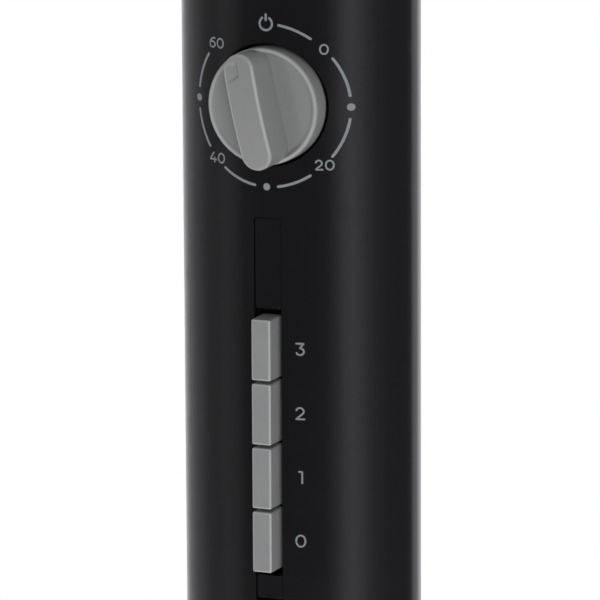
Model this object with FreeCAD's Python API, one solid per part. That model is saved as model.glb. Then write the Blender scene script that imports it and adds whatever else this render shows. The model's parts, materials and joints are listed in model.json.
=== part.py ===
import FreeCAD, Part
import math
import os

# Mechanical tower fan: a slim oval column that swings on a round base.
# Frame: origin on the floor under the swing axis, +Z up, the outlet and the controls face -Y. Millimetres.

V = FreeCAD.Vector

# ---------------------------------------------------------------- driving dimensions
TOTAL_HEIGHT = 850.0
COLUMN_HALF_WIDTH = 49.5      # half width of the oval column
FRONT_DEPTH = 35.5            # seam plane to the front of the column
REAR_DEPTH = 40.0             # seam plane to the back of the column
WALL = 2.5                    # moulded wall of the shells
SEAM_STEP = 0.9               # the rear shell is this much narrower, a shadow line at the seam
FIT_GAP = 0.4                 # clearance round a moulded piece in its opening
PARALLEL = 0.999              # cosine above which two directions count as one

# base
BASE_RADIUS = 125.0
BASE_RIM_HEIGHT = 16.0        # top of the straight rim
BASE_HEIGHT = 46.0            # top of the dome
BASE_WALL = 2.6
BASE_PLATE_THICKNESS = 2.5
BASE_PLATE_GAP = 1.0          # radial gap between plate and shell
FOOT_RADIUS = 9.0
FOOT_HEIGHT = 4.0
FOOT_CIRCLE = 104.0
FOOT_COUNT = 6
BASE_SCREW_CIRCLE = 97.0
BASE_SCREW_COUNT = 6
BALLAST_INNER = 66.0
BALLAST_OUTER = 90.0
BALLAST_THICKNESS = 5.0

# swing pivot and drive
PIVOT_RADIUS = 16.0           # spigot of the column foot
PIVOT_BORE = 11.0             # wires pass through here
PIVOT_CLEARANCE = 0.15
COLLAR_WALL = 3.2
COLLAR_DEPTH = 11.5           # how far the collar hangs below the dome
SLIP_RING_THICKNESS = 1.0
SLIP_RING_RADIUS = 30.0
FOOT_FLANGE_THICKNESS = 4.0
FOOT_FLANGE_RADIUS = 33.0
DRIVER_THICKNESS = 3.0
DRIVER_GAP = 1.0              # driver arm below the collar
CRANK_OFFSET = 42.0           # crank axis behind the swing axis
CRANK_THROW = 23.4
CRANK_THICKNESS = 3.0
CRANK_PIN_RADIUS = 2.5
ROLLER_RADIUS = 4.0
ROLLER_CLEARANCE = 1.2        # roller to slot wall: the opened pivot of the linkage
SWING_MOTOR_RADIUS = 21.0
SWING_MOTOR_HEIGHT = 13.0

# column heights
COLUMN_LIFT = 1.5             # shells stay this far above the dome
MOTOR_BAY = 92.0              # height of the motor bay above the column foot
OUTLET_HEIGHT = 372.0
OUTLET_HALF_WIDTH = 36.0
CAP_HEIGHT = 24.0
CAP_ROUND = 9.0
CAP_SKIN = 3.0

# grilles
SLAT_PITCH = 8.0
SLAT_THICKNESS = 1.8
GRILLE_DEPTH = 7.0
GRILLE_FRAME = 3.0
GRILLE_BARS = 2               # vertical bars each side of the middle one
GRILLE_BAR_WIDTH = 1.8

# controls, measured from the knob's centre and the column's front
KNOB_BELOW_TOP = 82.0
KNOB_RADIUS = 23.25
KNOB_PROUD = 4.05             # rim of the knob in front of the column
KNOB_SUNK = 5.8               # back of the skirt behind the column's front
KNOB_POCKET_GAP = 1.3
KNOB_POCKET_FLOOR = 6.6
KNOB_BAR_HEIGHT = 14.3
KNOB_BAR_HALF_WIDTH = 6.5
KNOB_BAR_BASE_HALF_WIDTH = 7.9
KNOB_BAR_REACH = 23.8
KNOB_BAR_BASE_REACH = 23.0
KNOB_BAR_ROUND = 1.2
KNOB_RIM_ROUND = 0.9
KNOB_DISH = 2.3
KNOB_WALL = 2.2
KNOB_REST_ANGLE = -10.5       # pointer leans to the left of the upright, degrees
POINTER_FROM_END = 3.0
POINTER_LENGTH = 6.4
POINTER_DEPTH = 1.1

KEY_BELOW_KNOB = 109.1        # bottom edge of the highest key below the knob's centre
KEY_PITCH = 26.0
KEY_COUNT = 4
KEY_WIDTH = 8.1               # at the front
KEY_BASE_WIDTH = 8.7          # where it passes the panel
KEY_HEIGHT = 24.6
KEY_BASE_HEIGHT = 25.0
KEY_PROUD = 7.3
KEY_TRAVEL = 4.5
KEY_EDGE = 0.7
KEY_FLANGE_WIDTH = 10.8
KEY_FLANGE_THICKNESS = 1.5
STEM_WIDTH = 4.0
STEM_HEIGHT = 8.0
SWING_KEY_DROP = 15.5         # plain strip between the lowest speed key and the swing key
STRIP_HALF_WIDTH = 5.82
STRIP_ABOVE_KEYS = 64.25      # top of the strip above the bottom of the highest key
STRIP_BELOW_SWING_KEY = 2.6
STRIP_CORNER = 1.4
STRIP_SUNK = 0.6
KEY_WINDOW_GAP = 0.45
KEY_ROW_GAP = 3.0             # open gap above and below a row of keys

# switch behind the keys
SWITCH_HALF_WIDTH = 9.5
SWITCH_WALL = 1.5
TERMINAL_LENGTH = 8.0
SWITCH_DEPTH = 22.0
SWITCH_BEHIND_FLANGE = 0.5    # clearance left when a key is pressed home
STEM_CLEARANCE = 0.35
STEM_REACH = 8.0              # stem inside the switch
SPRING_RADIUS = 2.2
SPRING_WIRE = 0.5
SPRING_TURNS = 5
LATCH_THICKNESS = 1.0
LATCH_WIDTH = 6.0
LATCH_TRAVEL = 2.0
LATCH_GAP = 0.4               # to the stems and to the case's front wall

# timer behind the knob
TIMER_HALF_SIZE = 21.0
TIMER_DEPTH = 30.0
TIMER_SHAFT_RADIUS = 3.0
TIMER_SHAFT_HOLE = 5.2
TIMER_SCREW_SPACING = 34.0
TIMER_SCREW_HEAD = 1.6

# impeller and motor
ROTOR_X = 3.0
ROTOR_Y = 5.0
IMPELLER_RADIUS = 26.0
IMPELLER_INNER_RADIUS = 19.5
IMPELLER_END_GAP = 5.0        # impeller to the bulkheads
IMPELLER_SECTIONS = 4
DISC_THICKNESS = 1.6
BLADE_COUNT = 24
BLADE_THICKNESS = 0.9
BLADE_LEAN = 38.0             # degrees the blade's inner edge leads its outer edge by chord
HUB_RADIUS = 8.0
HUB_LENGTH = 12.0
SHAFT_RADIUS = 3.0
SHAFT_CLEARANCE = 0.05
BULKHEAD_THICKNESS = 3.0
SCROLL_THICKNESS = 1.6
SCROLL_START_GAP = 2.2        # the spiral wall to the impeller at its start
SCROLL_END_GAP = 8.0          # and where it turns to the outlet
BEARING_RADIUS = 5.5
BEARING_LENGTH = 10.0
RUBBER_RADIUS = 10.0
STATOR_RADIUS = 26.0
STATOR_BORE = 13.3
STATOR_LENGTH = 20.0
AIR_GAP = 0.35
WINDING_HEIGHT = 9.0
WINDING_TO_CUP = 2.0
WINDING_ROUND = 2.0
MOTOR_CUP_WALL = 1.2
MOTOR_BELOW_BULKHEAD = 10.0
MOTOR_EAR_CIRCLE = 32.0
GROMMET_RADIUS = 4.0

# handle, fasteners, wiring
HANDLE_HALF_WIDTH = 30.0
HANDLE_HEIGHT = 26.0
HANDLE_DEPTH = 19.0
HANDLE_BELOW_CAP = 9.0
HANDLE_WALL = 2.0
SCREW_RADIUS = 1.5
SCREW_HEAD_RADIUS = 3.0
SCREW_HEAD_HEIGHT = 2.0
SCREW_SINK = 0.2              # screw thread to pilot wall
BOSS_RADIUS = 4.0
BOSS_SIDE = 41.5              # screw bosses left and right of the middle
SHELL_SCREW_LENGTH = 18.0
WIRE_RADIUS = 1.8
WIRE_HOLE_GAP = 0.8
WIRE_X = -33.0                # the bundle runs up beside the air duct
WIRE_Y = 12.0
GLAND_RADIUS = 6.0
GLAND_BORE = 3.6
GLAND_SUNK = 0.3              # gland's end inside the rim

# ---------------------------------------------------------------- derived places
FRONT_Y = -FRONT_DEPTH
FOOT_FLANGE_Z = BASE_HEIGHT + SLIP_RING_THICKNESS
COLUMN_Z = BASE_HEIGHT + COLUMN_LIFT
COLUMN_FLOOR_Z = FOOT_FLANGE_Z + FOOT_FLANGE_THICKNESS
CAP_Z = TOTAL_HEIGHT - CAP_HEIGHT
LOWER_BULKHEAD_Z = COLUMN_FLOOR_Z + MOTOR_BAY
OUTLET_Z0 = LOWER_BULKHEAD_Z + BULKHEAD_THICKNESS
OUTLET_Z1 = OUTLET_Z0 + OUTLET_HEIGHT
UPPER_BULKHEAD_Z = OUTLET_Z1
KNOB_Z = TOTAL_HEIGHT - KNOB_BELOW_TOP
KNOB_RIM_Y = FRONT_Y - KNOB_PROUD
KNOB_FLOOR_Y = FRONT_Y + KNOB_POCKET_FLOOR
TOP_KEY_Z = KNOB_Z - KEY_BELOW_KNOB
KEY_BOTTOMS = [TOP_KEY_Z - KEY_PITCH * (KEY_COUNT - 1 - i) for i in range(KEY_COUNT)]
KEY_NAMES = ["key_%d" % i for i in range(KEY_COUNT)]
SWING_KEY_Z = KEY_BOTTOMS[0] - SWING_KEY_DROP - KEY_HEIGHT
STRIP_TOP_Z = TOP_KEY_Z + STRIP_ABOVE_KEYS
STRIP_BOTTOM_Z = SWING_KEY_Z - STRIP_BELOW_SWING_KEY
BEZEL_Y = FRONT_Y + WALL + 0.8
BEZEL_THICKNESS = 2.0
KEY_FLANGE_Y = BEZEL_Y + BEZEL_THICKNESS + 0.3
KEY_BACK_Y = KEY_FLANGE_Y + KEY_FLANGE_THICKNESS
SWITCH_Y = KEY_BACK_Y + KEY_TRAVEL + SWITCH_BEHIND_FLANGE
SWITCH_BACK_Y = SWITCH_Y + SWITCH_DEPTH
COLLAR_BOTTOM_Z = BASE_HEIGHT - COLLAR_DEPTH
DRIVER_TOP_Z = COLLAR_BOTTOM_Z - DRIVER_GAP
DRIVER_Z = DRIVER_TOP_Z - DRIVER_THICKNESS
CRANK_Z = DRIVER_Z - 2.0 - CRANK_THICKNESS
SWING_MOTOR_Z = CRANK_Z - 1.5 - SWING_MOTOR_HEIGHT
BASE_FLOOR_Z = FOOT_HEIGHT + BASE_PLATE_THICKNESS
MOTOR_TOP_Z = LOWER_BULKHEAD_Z - MOTOR_BELOW_BULKHEAD
IMPELLER_Z0 = OUTLET_Z0 + IMPELLER_END_GAP
IMPELLER_Z1 = OUTLET_Z1 - IMPELLER_END_GAP
FAR = 2 * TOTAL_HEIGHT        # longer than any cut needs


# ---------------------------------------------------------------- plain solids
def box(x0, x1, y0, y1, z0, z1):
    return Part.makeBox(x1 - x0, y1 - y0, z1 - z0, V(x0, y0, z0))


def rod_z(radius, z0, z1, x=0.0, y=0.0):
    return Part.makeCylinder(radius, z1 - z0, V(x, y, z0))


def rod_y(radius, y0, y1, x=0.0, z=0.0):
    return Part.makeCylinder(radius, y1 - y0, V(x, y0, z), V(0, 1, 0))


def tube_z(outer, inner, z0, z1, x=0.0, y=0.0):
    return rod_z(outer, z0, z1, x, y).cut(rod_z(inner, z0 - 1, z1 + 1, x, y))


def fuse(first, *others):
    return first.multiFuse(list(others)).removeSplitter()


def on_circle(radius, count, start=0.0):
    """Points evenly spaced on a circle about the origin."""
    turns = [math.radians(start + 360.0 * i / count) for i in range(count)]
    return [(radius * math.cos(t), radius * math.sin(t)) for t in turns]


def outer_circles(solid, radius):
    """Round edges of a solid that are wider than a radius."""
    return [e for e in solid.Edges if e.Curve.TypeId == "Part::GeomCircle" and e.Curve.Radius > radius]


def upright_edges(solid, direction):
    """Straight edges of a solid that run along a direction."""
    found = []
    for edge in solid.Edges:
        if edge.Curve.TypeId != "Part::GeomLine":
            continue
        if abs(edge.tangentAt(edge.FirstParameter).dot(direction)) > PARALLEL:
            found.append(edge)
    return found


def rounded_box_y(half_width, z0, z1, y0, y1, corner):
    """A box whose edges along Y are rounded."""
    block = box(-half_width, half_width, y0, y1, z0, z1)
    return block.makeFillet(corner, upright_edges(block, V(0, 1, 0)))


def save(name, *solids):
    shape = solids[0] if len(solids) == 1 else Part.makeCompound(list(solids))
    shape.exportStep(os.path.join("parts", name + ".step"))


# ---------------------------------------------------------------- the oval column
def oval(half_width, depth, z0, z1):
    """An upright prism with an elliptical plan."""
    ends = (V(half_width, 0, z0), V(0, depth, z0))
    if depth > half_width:
        ends = (ends[1], ends[0])
    ring = Part.Ellipse(ends[0], ends[1], V(0, 0, z0)).toShape()
    prism = Part.Face(Part.Wire([ring])).extrude(V(0, 0, z1 - z0))
    return prism


def front_half(inset, z0, z1):
    """The front half of the column's plan, pulled in by inset."""
    whole = oval(COLUMN_HALF_WIDTH - inset, FRONT_DEPTH - inset, z0, z1)
    return whole.common(box(-FAR, FAR, -FAR, 0, z0 - 1, z1 + 1))


def rear_half(inset, z0, z1):
    """The rear half of the column's plan, pulled in by inset."""
    whole = oval(COLUMN_HALF_WIDTH - inset, REAR_DEPTH - inset, z0, z1)
    return whole.common(box(-FAR, FAR, 0, FAR, z0 - 1, z1 + 1))


def full_plan(inset, z0, z1):
    return fuse(front_half(inset, z0, z1), rear_half(inset, z0, z1))


def screw_y(x, z, head_y, length):
    """A pan-head screw that is driven towards -Y, with its head at head_y."""
    head = rod_y(SCREW_HEAD_RADIUS, head_y, head_y + SCREW_HEAD_HEIGHT, x, z)
    slot = box(x - SCREW_HEAD_RADIUS, x + SCREW_HEAD_RADIUS, head_y + SCREW_HEAD_HEIGHT - 0.8,
               head_y + SCREW_HEAD_HEIGHT + 1, z - 0.4, z + 0.4)
    cross = box(x - 0.4, x + 0.4, head_y + SCREW_HEAD_HEIGHT - 0.8,
                head_y + SCREW_HEAD_HEIGHT + 1, z - SCREW_HEAD_RADIUS, z + SCREW_HEAD_RADIUS)
    recess = fuse(slot, cross).common(rod_y(SCREW_HEAD_RADIUS * 0.62, head_y, head_y + FAR, x, z))
    shank = rod_y(SCREW_RADIUS, head_y - length, head_y + 0.1, x, z)
    return fuse(head, shank).cut(recess)


def screw_z(x, y, head_z, length, up):
    """A pan-head screw along Z: driven upwards when up is 1 and downwards when up is -1."""
    z0, z1 = sorted((head_z, head_z - up * SCREW_HEAD_HEIGHT))
    head = rod_z(SCREW_HEAD_RADIUS, z0, z1, x, y)
    s0, s1 = sorted((head_z - up * 0.1, head_z + up * length))
    return fuse(head, rod_z(SCREW_RADIUS, s0, s1, x, y))


SHELL_SCREW_HEIGHTS = [
    COLUMN_FLOOR_Z + 18.0,
    LOWER_BULKHEAD_Z - 30.0,
    UPPER_BULKHEAD_Z + 16.0,
    CAP_Z - 14.0,
]
SHELL_SCREWS = [(side * BOSS_SIDE, z) for side in (-1, 1) for z in SHELL_SCREW_HEIGHTS]


# ---------------------------------------------------------------- base
def dome(inset):
    """The base's outside as a turned solid, pulled in by inset."""
    radius = BASE_RADIUS - inset
    rise = BASE_HEIGHT - BASE_RIM_HEIGHT
    bottom = BASE_FLOOR_Z - 1.0 if inset == 0 else BASE_FLOOR_Z - 5.0
    ball = Part.makeSphere(radius, V(0, 0, 0))
    squeeze = FreeCAD.Matrix()
    squeeze.scale(1.0, 1.0, rise / BASE_RADIUS)
    lens = ball.transformGeometry(squeeze)
    lens.translate(V(0, 0, BASE_RIM_HEIGHT - (inset if inset else 0)))
    upper = lens.common(box(-FAR, FAR, -FAR, FAR, BASE_RIM_HEIGHT - inset, FAR))
    return fuse(upper, rod_z(radius, bottom, BASE_RIM_HEIGHT - inset))


def make_base_shell():
    shell = dome(0).cut(dome(BASE_WALL))
    collar = tube_z(PIVOT_RADIUS + PIVOT_CLEARANCE + COLLAR_WALL, PIVOT_RADIUS + PIVOT_CLEARANCE,
                    COLLAR_BOTTOM_Z, BASE_HEIGHT - BASE_WALL * 0.5)
    shell = fuse(shell, collar.common(dome(0)))
    shell = shell.cut(rod_z(PIVOT_RADIUS + PIVOT_CLEARANCE, 0, FAR))
    shell = shell.cut(rod_z(SLIP_RING_RADIUS + FIT_GAP, BASE_HEIGHT - 0.6, FAR))
    for x, y in on_circle(BASE_SCREW_CIRCLE, BASE_SCREW_COUNT, 30.0):
        boss = rod_z(BOSS_RADIUS, BASE_FLOOR_Z, FAR, x, y).common(dome(BASE_WALL * 0.5))
        shell = fuse(shell, boss)
        shell = shell.cut(rod_z(SCREW_RADIUS + SCREW_SINK, 0, BASE_FLOOR_Z + 12.0, x, y))
    gland_z = BASE_FLOOR_Z + GLAND_RADIUS + 0.6
    return shell.cut(rod_y(GLAND_RADIUS, BASE_RADIUS - 12.0, FAR, 0, gland_z))


def make_base_plate():
    plate = rod_z(BASE_RADIUS - BASE_WALL - BASE_PLATE_GAP, FOOT_HEIGHT, BASE_FLOOR_Z)
    for x, y in on_circle(BASE_SCREW_CIRCLE, BASE_SCREW_COUNT, 30.0):
        plate = plate.cut(rod_z(SCREW_RADIUS + SCREW_SINK, 0, FAR, x, y))
    posts = []
    for side in (-1, 1):
        x = side * (SWING_MOTOR_RADIUS + 5.0)
        posts.append(rod_z(BOSS_RADIUS, BASE_FLOOR_Z, SWING_MOTOR_Z + 2.0, x, CRANK_OFFSET))
    plate = fuse(plate, *posts)
    for side in (-1, 1):
        x = side * (SWING_MOTOR_RADIUS + 5.0)
        plate = plate.cut(rod_z(SCREW_RADIUS + SCREW_SINK, BASE_FLOOR_Z - 1.0, FAR, x, CRANK_OFFSET))
    return plate


def make_feet():
    feet = []
    for x, y in on_circle(FOOT_CIRCLE, FOOT_COUNT):
        pad = rod_z(FOOT_RADIUS, 0, FOOT_HEIGHT, x, y)
        rim = [e for e in pad.Edges if e.Curve.TypeId == "Part::GeomCircle" and e.CenterOfMass.z < 0.1]
        feet.append(pad.makeFillet(0.8, rim))
    return feet


def make_base_screws():
    places = on_circle(BASE_SCREW_CIRCLE, BASE_SCREW_COUNT, 30.0)
    return [screw_z(x, y, FOOT_HEIGHT, 11.0, 1) for x, y in places]


def make_ballast():
    ring = tube_z(BALLAST_OUTER, BALLAST_INNER, BASE_FLOOR_Z, BASE_FLOOR_Z + BALLAST_THICKNESS)
    return ring.cut(box(-16.0, 16.0, 0, FAR, 0, FAR))


def make_swing_motor():
    can = rod_z(SWING_MOTOR_RADIUS, SWING_MOTOR_Z, SWING_MOTOR_Z + SWING_MOTOR_HEIGHT, 0, CRANK_OFFSET)
    can = can.makeFillet(1.0, [e for e in can.Edges if e.Curve.TypeId == "Part::GeomCircle"])
    ears = box(-SWING_MOTOR_RADIUS - 9.0, SWING_MOTOR_RADIUS + 9.0, CRANK_OFFSET - 4.0, CRANK_OFFSET + 4.0,
               SWING_MOTOR_Z + 2.0, SWING_MOTOR_Z + 3.0)
    can = fuse(can, ears)
    for side in (-1, 1):
        x = side * (SWING_MOTOR_RADIUS + 5.0)
        can = can.cut(rod_z(SCREW_RADIUS + SCREW_SINK, 0, FAR, x, CRANK_OFFSET))
    return can


def make_swing_motor_screws():
    screws = []
    for side in (-1, 1):
        x = side * (SWING_MOTOR_RADIUS + 5.0)
        screws.append(screw_z(x, CRANK_OFFSET, SWING_MOTOR_Z + 3.0, 8.0, -1))
    return screws


def make_cord_gland():
    z = BASE_FLOOR_Z + GLAND_RADIUS + 0.6
    body = rod_y(GLAND_RADIUS - 0.1, BASE_RADIUS - 11.0, BASE_RADIUS - GLAND_SUNK, 0, z)
    inner_flange = rod_y(GLAND_RADIUS + 1.5, BASE_RADIUS - 11.0, BASE_RADIUS - 8.0, 0, z + 0.9)
    gland = fuse(body, inner_flange.common(rod_z(BASE_RADIUS - BASE_WALL - 0.3, 0, FAR)))
    return gland.cut(rod_y(GLAND_BORE, 0, FAR, 0, z))


def make_terminal_block():
    block = box(-17.0, 17.0, -62.0, -48.0, BASE_FLOOR_Z, BASE_FLOOR_Z + 12.0)
    for i in range(3):
        x = -11.0 + 11.0 * i
        block = block.cut(rod_z(2.2, BASE_FLOOR_Z + 6.0, FAR, x, -55.0))
    return block


# ---------------------------------------------------------------- swing drive
def make_crank():
    hub = rod_z(6.0, CRANK_Z, CRANK_Z + CRANK_THICKNESS, 0, CRANK_OFFSET)
    end = rod_z(5.0, CRANK_Z, CRANK_Z + CRANK_THICKNESS, 0, CRANK_OFFSET + CRANK_THROW)
    web = box(-4.0, 4.0, CRANK_OFFSET, CRANK_OFFSET + CRANK_THROW, CRANK_Z, CRANK_Z + CRANK_THICKNESS)
    pin = rod_z(CRANK_PIN_RADIUS, CRANK_Z, DRIVER_TOP_Z + 0.4, 0, CRANK_OFFSET + CRANK_THROW)
    shaft = rod_z(2.5, SWING_MOTOR_Z + SWING_MOTOR_HEIGHT + 0.2, CRANK_Z + 0.1, 0, CRANK_OFFSET)
    return fuse(hub, end, web, pin, shaft)


def make_roller():
    y = CRANK_OFFSET + CRANK_THROW
    return tube_z(ROLLER_RADIUS, CRANK_PIN_RADIUS + SHAFT_CLEARANCE, CRANK_Z + CRANK_THICKNESS + 0.3,
                  DRIVER_TOP_Z, 0, y)


def make_driver_arm():
    slot_half = ROLLER_RADIUS + ROLLER_CLEARANCE
    near = math.hypot(CRANK_OFFSET, CRANK_THROW) - 3.0
    far = CRANK_OFFSET + CRANK_THROW + 2.0
    hub = rod_z(PIVOT_RADIUS + 3.0, DRIVER_Z, DRIVER_TOP_Z)
    arm = box(-slot_half - 4.0, slot_half + 4.0, 0, far, DRIVER_Z, DRIVER_TOP_Z)
    tip = rod_z(slot_half + 4.0, DRIVER_Z, DRIVER_TOP_Z, 0, far)
    slot = fuse(rod_z(slot_half, 0, FAR, 0, near), rod_z(slot_half, 0, FAR, 0, far),
                box(-slot_half, slot_half, near, far, 0, FAR))
    plate = fuse(hub, arm, tip).cut(slot).cut(rod_z(PIVOT_BORE, 0, FAR))
    for x, y in on_circle((PIVOT_RADIUS + PIVOT_BORE) / 2, 3, -90.0):
        plate = plate.cut(rod_z(SCREW_RADIUS * 0.8 + SCREW_SINK, 0, FAR, x, y))
    return plate


def make_driver_screws():
    screws = []
    for x, y in on_circle((PIVOT_RADIUS + PIVOT_BORE) / 2, 3, -90.0):
        shank = rod_z(SCREW_RADIUS * 0.8, DRIVER_Z - 0.1, DRIVER_TOP_Z + 8.0, x, y)
        screws.append(fuse(rod_z(2.3, DRIVER_Z - 1.5, DRIVER_Z, x, y), shank))
    return screws


def make_column_foot():
    flange = rod_z(FOOT_FLANGE_RADIUS, FOOT_FLANGE_Z, COLUMN_FLOOR_Z)
    spigot = rod_z(PIVOT_RADIUS, DRIVER_TOP_Z, FOOT_FLANGE_Z + 1.0)
    floor = full_plan(WALL + 0.3, COLUMN_FLOOR_Z - 2.0, COLUMN_FLOOR_Z)
    floor = floor.cut(rear_half(-1.0, 0, FAR).cut(oval(COLUMN_HALF_WIDTH - WALL - SEAM_STEP - 0.3,
                                                       REAR_DEPTH - WALL - SEAM_STEP - 0.3, 0, FAR)))
    foot = fuse(flange.common(floor_limit()), spigot, floor).cut(rod_z(PIVOT_BORE, 0, FAR))
    for x, y in on_circle((PIVOT_RADIUS + PIVOT_BORE) / 2, 3, -90.0):
        foot = foot.cut(rod_z(SCREW_RADIUS * 0.8 + SCREW_SINK * 0.5, 0, DRIVER_TOP_Z + 9.0, x, y))
    return foot


def floor_limit():
    """Room inside both shells for anything that stands in the column's foot."""
    rear = oval(COLUMN_HALF_WIDTH - WALL - SEAM_STEP - 0.3, REAR_DEPTH - WALL - SEAM_STEP - 0.3, 0, FAR)
    rear = rear.common(box(-FAR, FAR, 0, FAR, -1, FAR))
    return fuse(front_half(WALL + 0.3, 0, FAR), rear)


def make_slip_ring():
    return tube_z(SLIP_RING_RADIUS, PIVOT_RADIUS + PIVOT_CLEARANCE + 0.5, BASE_HEIGHT - 0.6, FOOT_FLANGE_Z)


# ---------------------------------------------------------------- shells
def knob_cup():
    """The round pocket behind the timer knob, as a cup that closes the hole in the front shell."""
    radius = KNOB_RADIUS + KNOB_POCKET_GAP
    cup = rod_y(radius + WALL * 0.8, -FAR, KNOB_FLOOR_Y + WALL * 0.9, 0, KNOB_Z)
    return cup.common(front_half(0, KNOB_Z - 60, KNOB_Z + 60))


def make_front_shell():
    shell = front_half(0, COLUMN_Z, CAP_Z).cut(front_half(WALL, COLUMN_Z - 1, CAP_Z + 1))
    bosses = []
    for x, z in SHELL_SCREWS:
        post = rod_y(BOSS_RADIUS, -FAR, 0, x, z).common(front_half(WALL * 0.5, z - 9, z + 9))
        bosses.append(post)
    shell = fuse(shell, knob_cup(), *bosses)
    shell = shell.cut(rod_y(KNOB_RADIUS + KNOB_POCKET_GAP, -FAR, KNOB_FLOOR_Y, 0, KNOB_Z))
    shell = shell.cut(rod_y(TIMER_SHAFT_HOLE, -FAR, 0, 0, KNOB_Z))
    for side in (-1, 1):
        shell = shell.cut(rod_y(SCREW_RADIUS + SCREW_SINK, -FAR, 0, side * TIMER_SCREW_SPACING / 2, KNOB_Z))
    for x, z in SHELL_SCREWS:
        shell = shell.cut(rod_y(SCREW_RADIUS + SCREW_SINK, -SHELL_SCREW_LENGTH + 5.0, 1, x, z))
    shell = shell.cut(rounded_box_y(STRIP_HALF_WIDTH, STRIP_BOTTOM_Z, STRIP_TOP_Z, -FAR, -20.0, STRIP_CORNER))
    return shell.cut(box(-OUTLET_HALF_WIDTH, OUTLET_HALF_WIDTH, -FAR, -5.0, OUTLET_Z0 + 3, OUTLET_Z1 - 3))


def make_rear_shell():
    outside = oval(COLUMN_HALF_WIDTH - SEAM_STEP, REAR_DEPTH, COLUMN_Z, CAP_Z)
    inside = oval(COLUMN_HALF_WIDTH - SEAM_STEP - WALL, REAR_DEPTH - WALL, COLUMN_Z - 1, CAP_Z + 1)
    back = box(-FAR, FAR, 0, FAR, COLUMN_Z - 1, CAP_Z + 1)
    shell = outside.common(back).cut(inside)
    for x, z in SHELL_SCREWS:
        tunnel = rod_y(BOSS_RADIUS + 1.2, 0, FAR, x, z).common(outside)
        shell = fuse(shell, tunnel)
    for x, z in SHELL_SCREWS:
        shell = shell.cut(rod_y(SCREW_RADIUS + SCREW_SINK, -1, FAR, x, z))
        shell = shell.cut(rod_y(SCREW_HEAD_RADIUS + 0.6, 5.0, FAR, x, z))
    shell = shell.cut(box(-OUTLET_HALF_WIDTH, OUTLET_HALF_WIDTH, 5.0, FAR, OUTLET_Z0 + 3, OUTLET_Z1 - 3))
    handle = handle_block(0.3, 0.3)
    return shell.cut(handle)


def make_shell_screws():
    return [screw_y(x, z, 5.0, SHELL_SCREW_LENGTH - 1.0) for x, z in SHELL_SCREWS]


def make_grille(depth, toward):
    """A curved outlet or inlet grille: a frame, level slats and a few upright bars, in one moulding."""
    side = box(-FAR, FAR, -FAR, -5.0, 0, FAR) if toward < 0 else box(-FAR, FAR, 5.0, FAR, 0, FAR)
    width = COLUMN_HALF_WIDTH if toward < 0 else COLUMN_HALF_WIDTH - SEAM_STEP
    z0, z1 = OUTLET_Z0 + 3 + FIT_GAP, OUTLET_Z1 - 3 - FIT_GAP
    half = OUTLET_HALF_WIDTH - FIT_GAP
    skin = oval(width, depth, z0, z1).cut(oval(width - GRILLE_DEPTH, depth - GRILLE_DEPTH, z0 - 1, z1 + 1))
    skin = skin.common(side).common(box(-half, half, -FAR, FAR, z0, z1))
    inner = half - GRILLE_FRAME
    pieces = [box(-FAR, -inner, -FAR, FAR, z0, z1), box(inner, FAR, -FAR, FAR, z0, z1),
              box(-FAR, FAR, -FAR, FAR, z0, z0 + GRILLE_FRAME),
              box(-FAR, FAR, -FAR, FAR, z1 - GRILLE_FRAME, z1)]
    bar_pitch = inner / (GRILLE_BARS + 1)
    for i in range(-GRILLE_BARS, GRILLE_BARS + 1):
        x = i * bar_pitch
        pieces.append(box(x - GRILLE_BAR_WIDTH / 2, x + GRILLE_BAR_WIDTH / 2, -FAR, FAR, z0, z1))
    count = int((z1 - z0 - 2 * GRILLE_FRAME) / SLAT_PITCH)
    spacing = (z1 - z0 - 2 * GRILLE_FRAME) / count
    for i in range(1, count):
        z = z0 + GRILLE_FRAME + i * spacing
        pieces.append(box(-FAR, FAR, -FAR, FAR, z - SLAT_THICKNESS / 2, z + SLAT_THICKNESS / 2))
    lattice = fuse(*pieces)
    return skin.common(lattice)


def make_top_cap():
    cap = full_plan(0, CAP_Z, TOTAL_HEIGHT)
    rim = [e for e in cap.Edges if abs(e.CenterOfMass.z - TOTAL_HEIGHT) < 0.01 and e.Length > 50.0]
    cap = cap.makeFillet(CAP_ROUND, rim)
    hollow = full_plan(WALL, CAP_Z - 1, TOTAL_HEIGHT - CAP_SKIN - CAP_ROUND * 0.5)
    cap = cap.cut(hollow)
    lip = full_plan(WALL + SEAM_STEP + 0.3, CAP_Z - 4.0, CAP_Z + 4.0)
    lip = lip.cut(full_plan(WALL + SEAM_STEP + 1.8, CAP_Z - 5.0, CAP_Z + 5.0))
    bridge = full_plan(WALL - 0.5, CAP_Z, CAP_Z + 4.0)
    bridge = bridge.cut(full_plan(WALL + SEAM_STEP + 1.8, CAP_Z - 1, CAP_Z + 5.0))
    return fuse(cap, lip, bridge)


def handle_block(grow, drop):
    """The finger recess at the back, as the space that its cup fills, grown by grow."""
    z1 = CAP_Z - HANDLE_BELOW_CAP
    y0 = REAR_DEPTH - HANDLE_DEPTH
    block = box(-HANDLE_HALF_WIDTH - grow, HANDLE_HALF_WIDTH + grow, y0 - grow, FAR,
                z1 - HANDLE_HEIGHT - drop, z1 + grow)
    return block.makeFillet(5.0, upright_edges(block, V(0, 1, 0)))


def make_handle_cup():
    outside = oval(COLUMN_HALF_WIDTH - SEAM_STEP, REAR_DEPTH, COLUMN_Z, CAP_Z)
    cup = handle_block(0, 0).common(outside)
    z1 = CAP_Z - HANDLE_BELOW_CAP
    inner = box(-HANDLE_HALF_WIDTH + HANDLE_WALL, HANDLE_HALF_WIDTH - HANDLE_WALL,
                REAR_DEPTH - HANDLE_DEPTH + HANDLE_WALL, FAR,
                z1 - HANDLE_HEIGHT + HANDLE_WALL, z1 - HANDLE_WALL)
    return cup.cut(inner.makeFillet(3.5, upright_edges(inner, V(0, 1, 0))))


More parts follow.
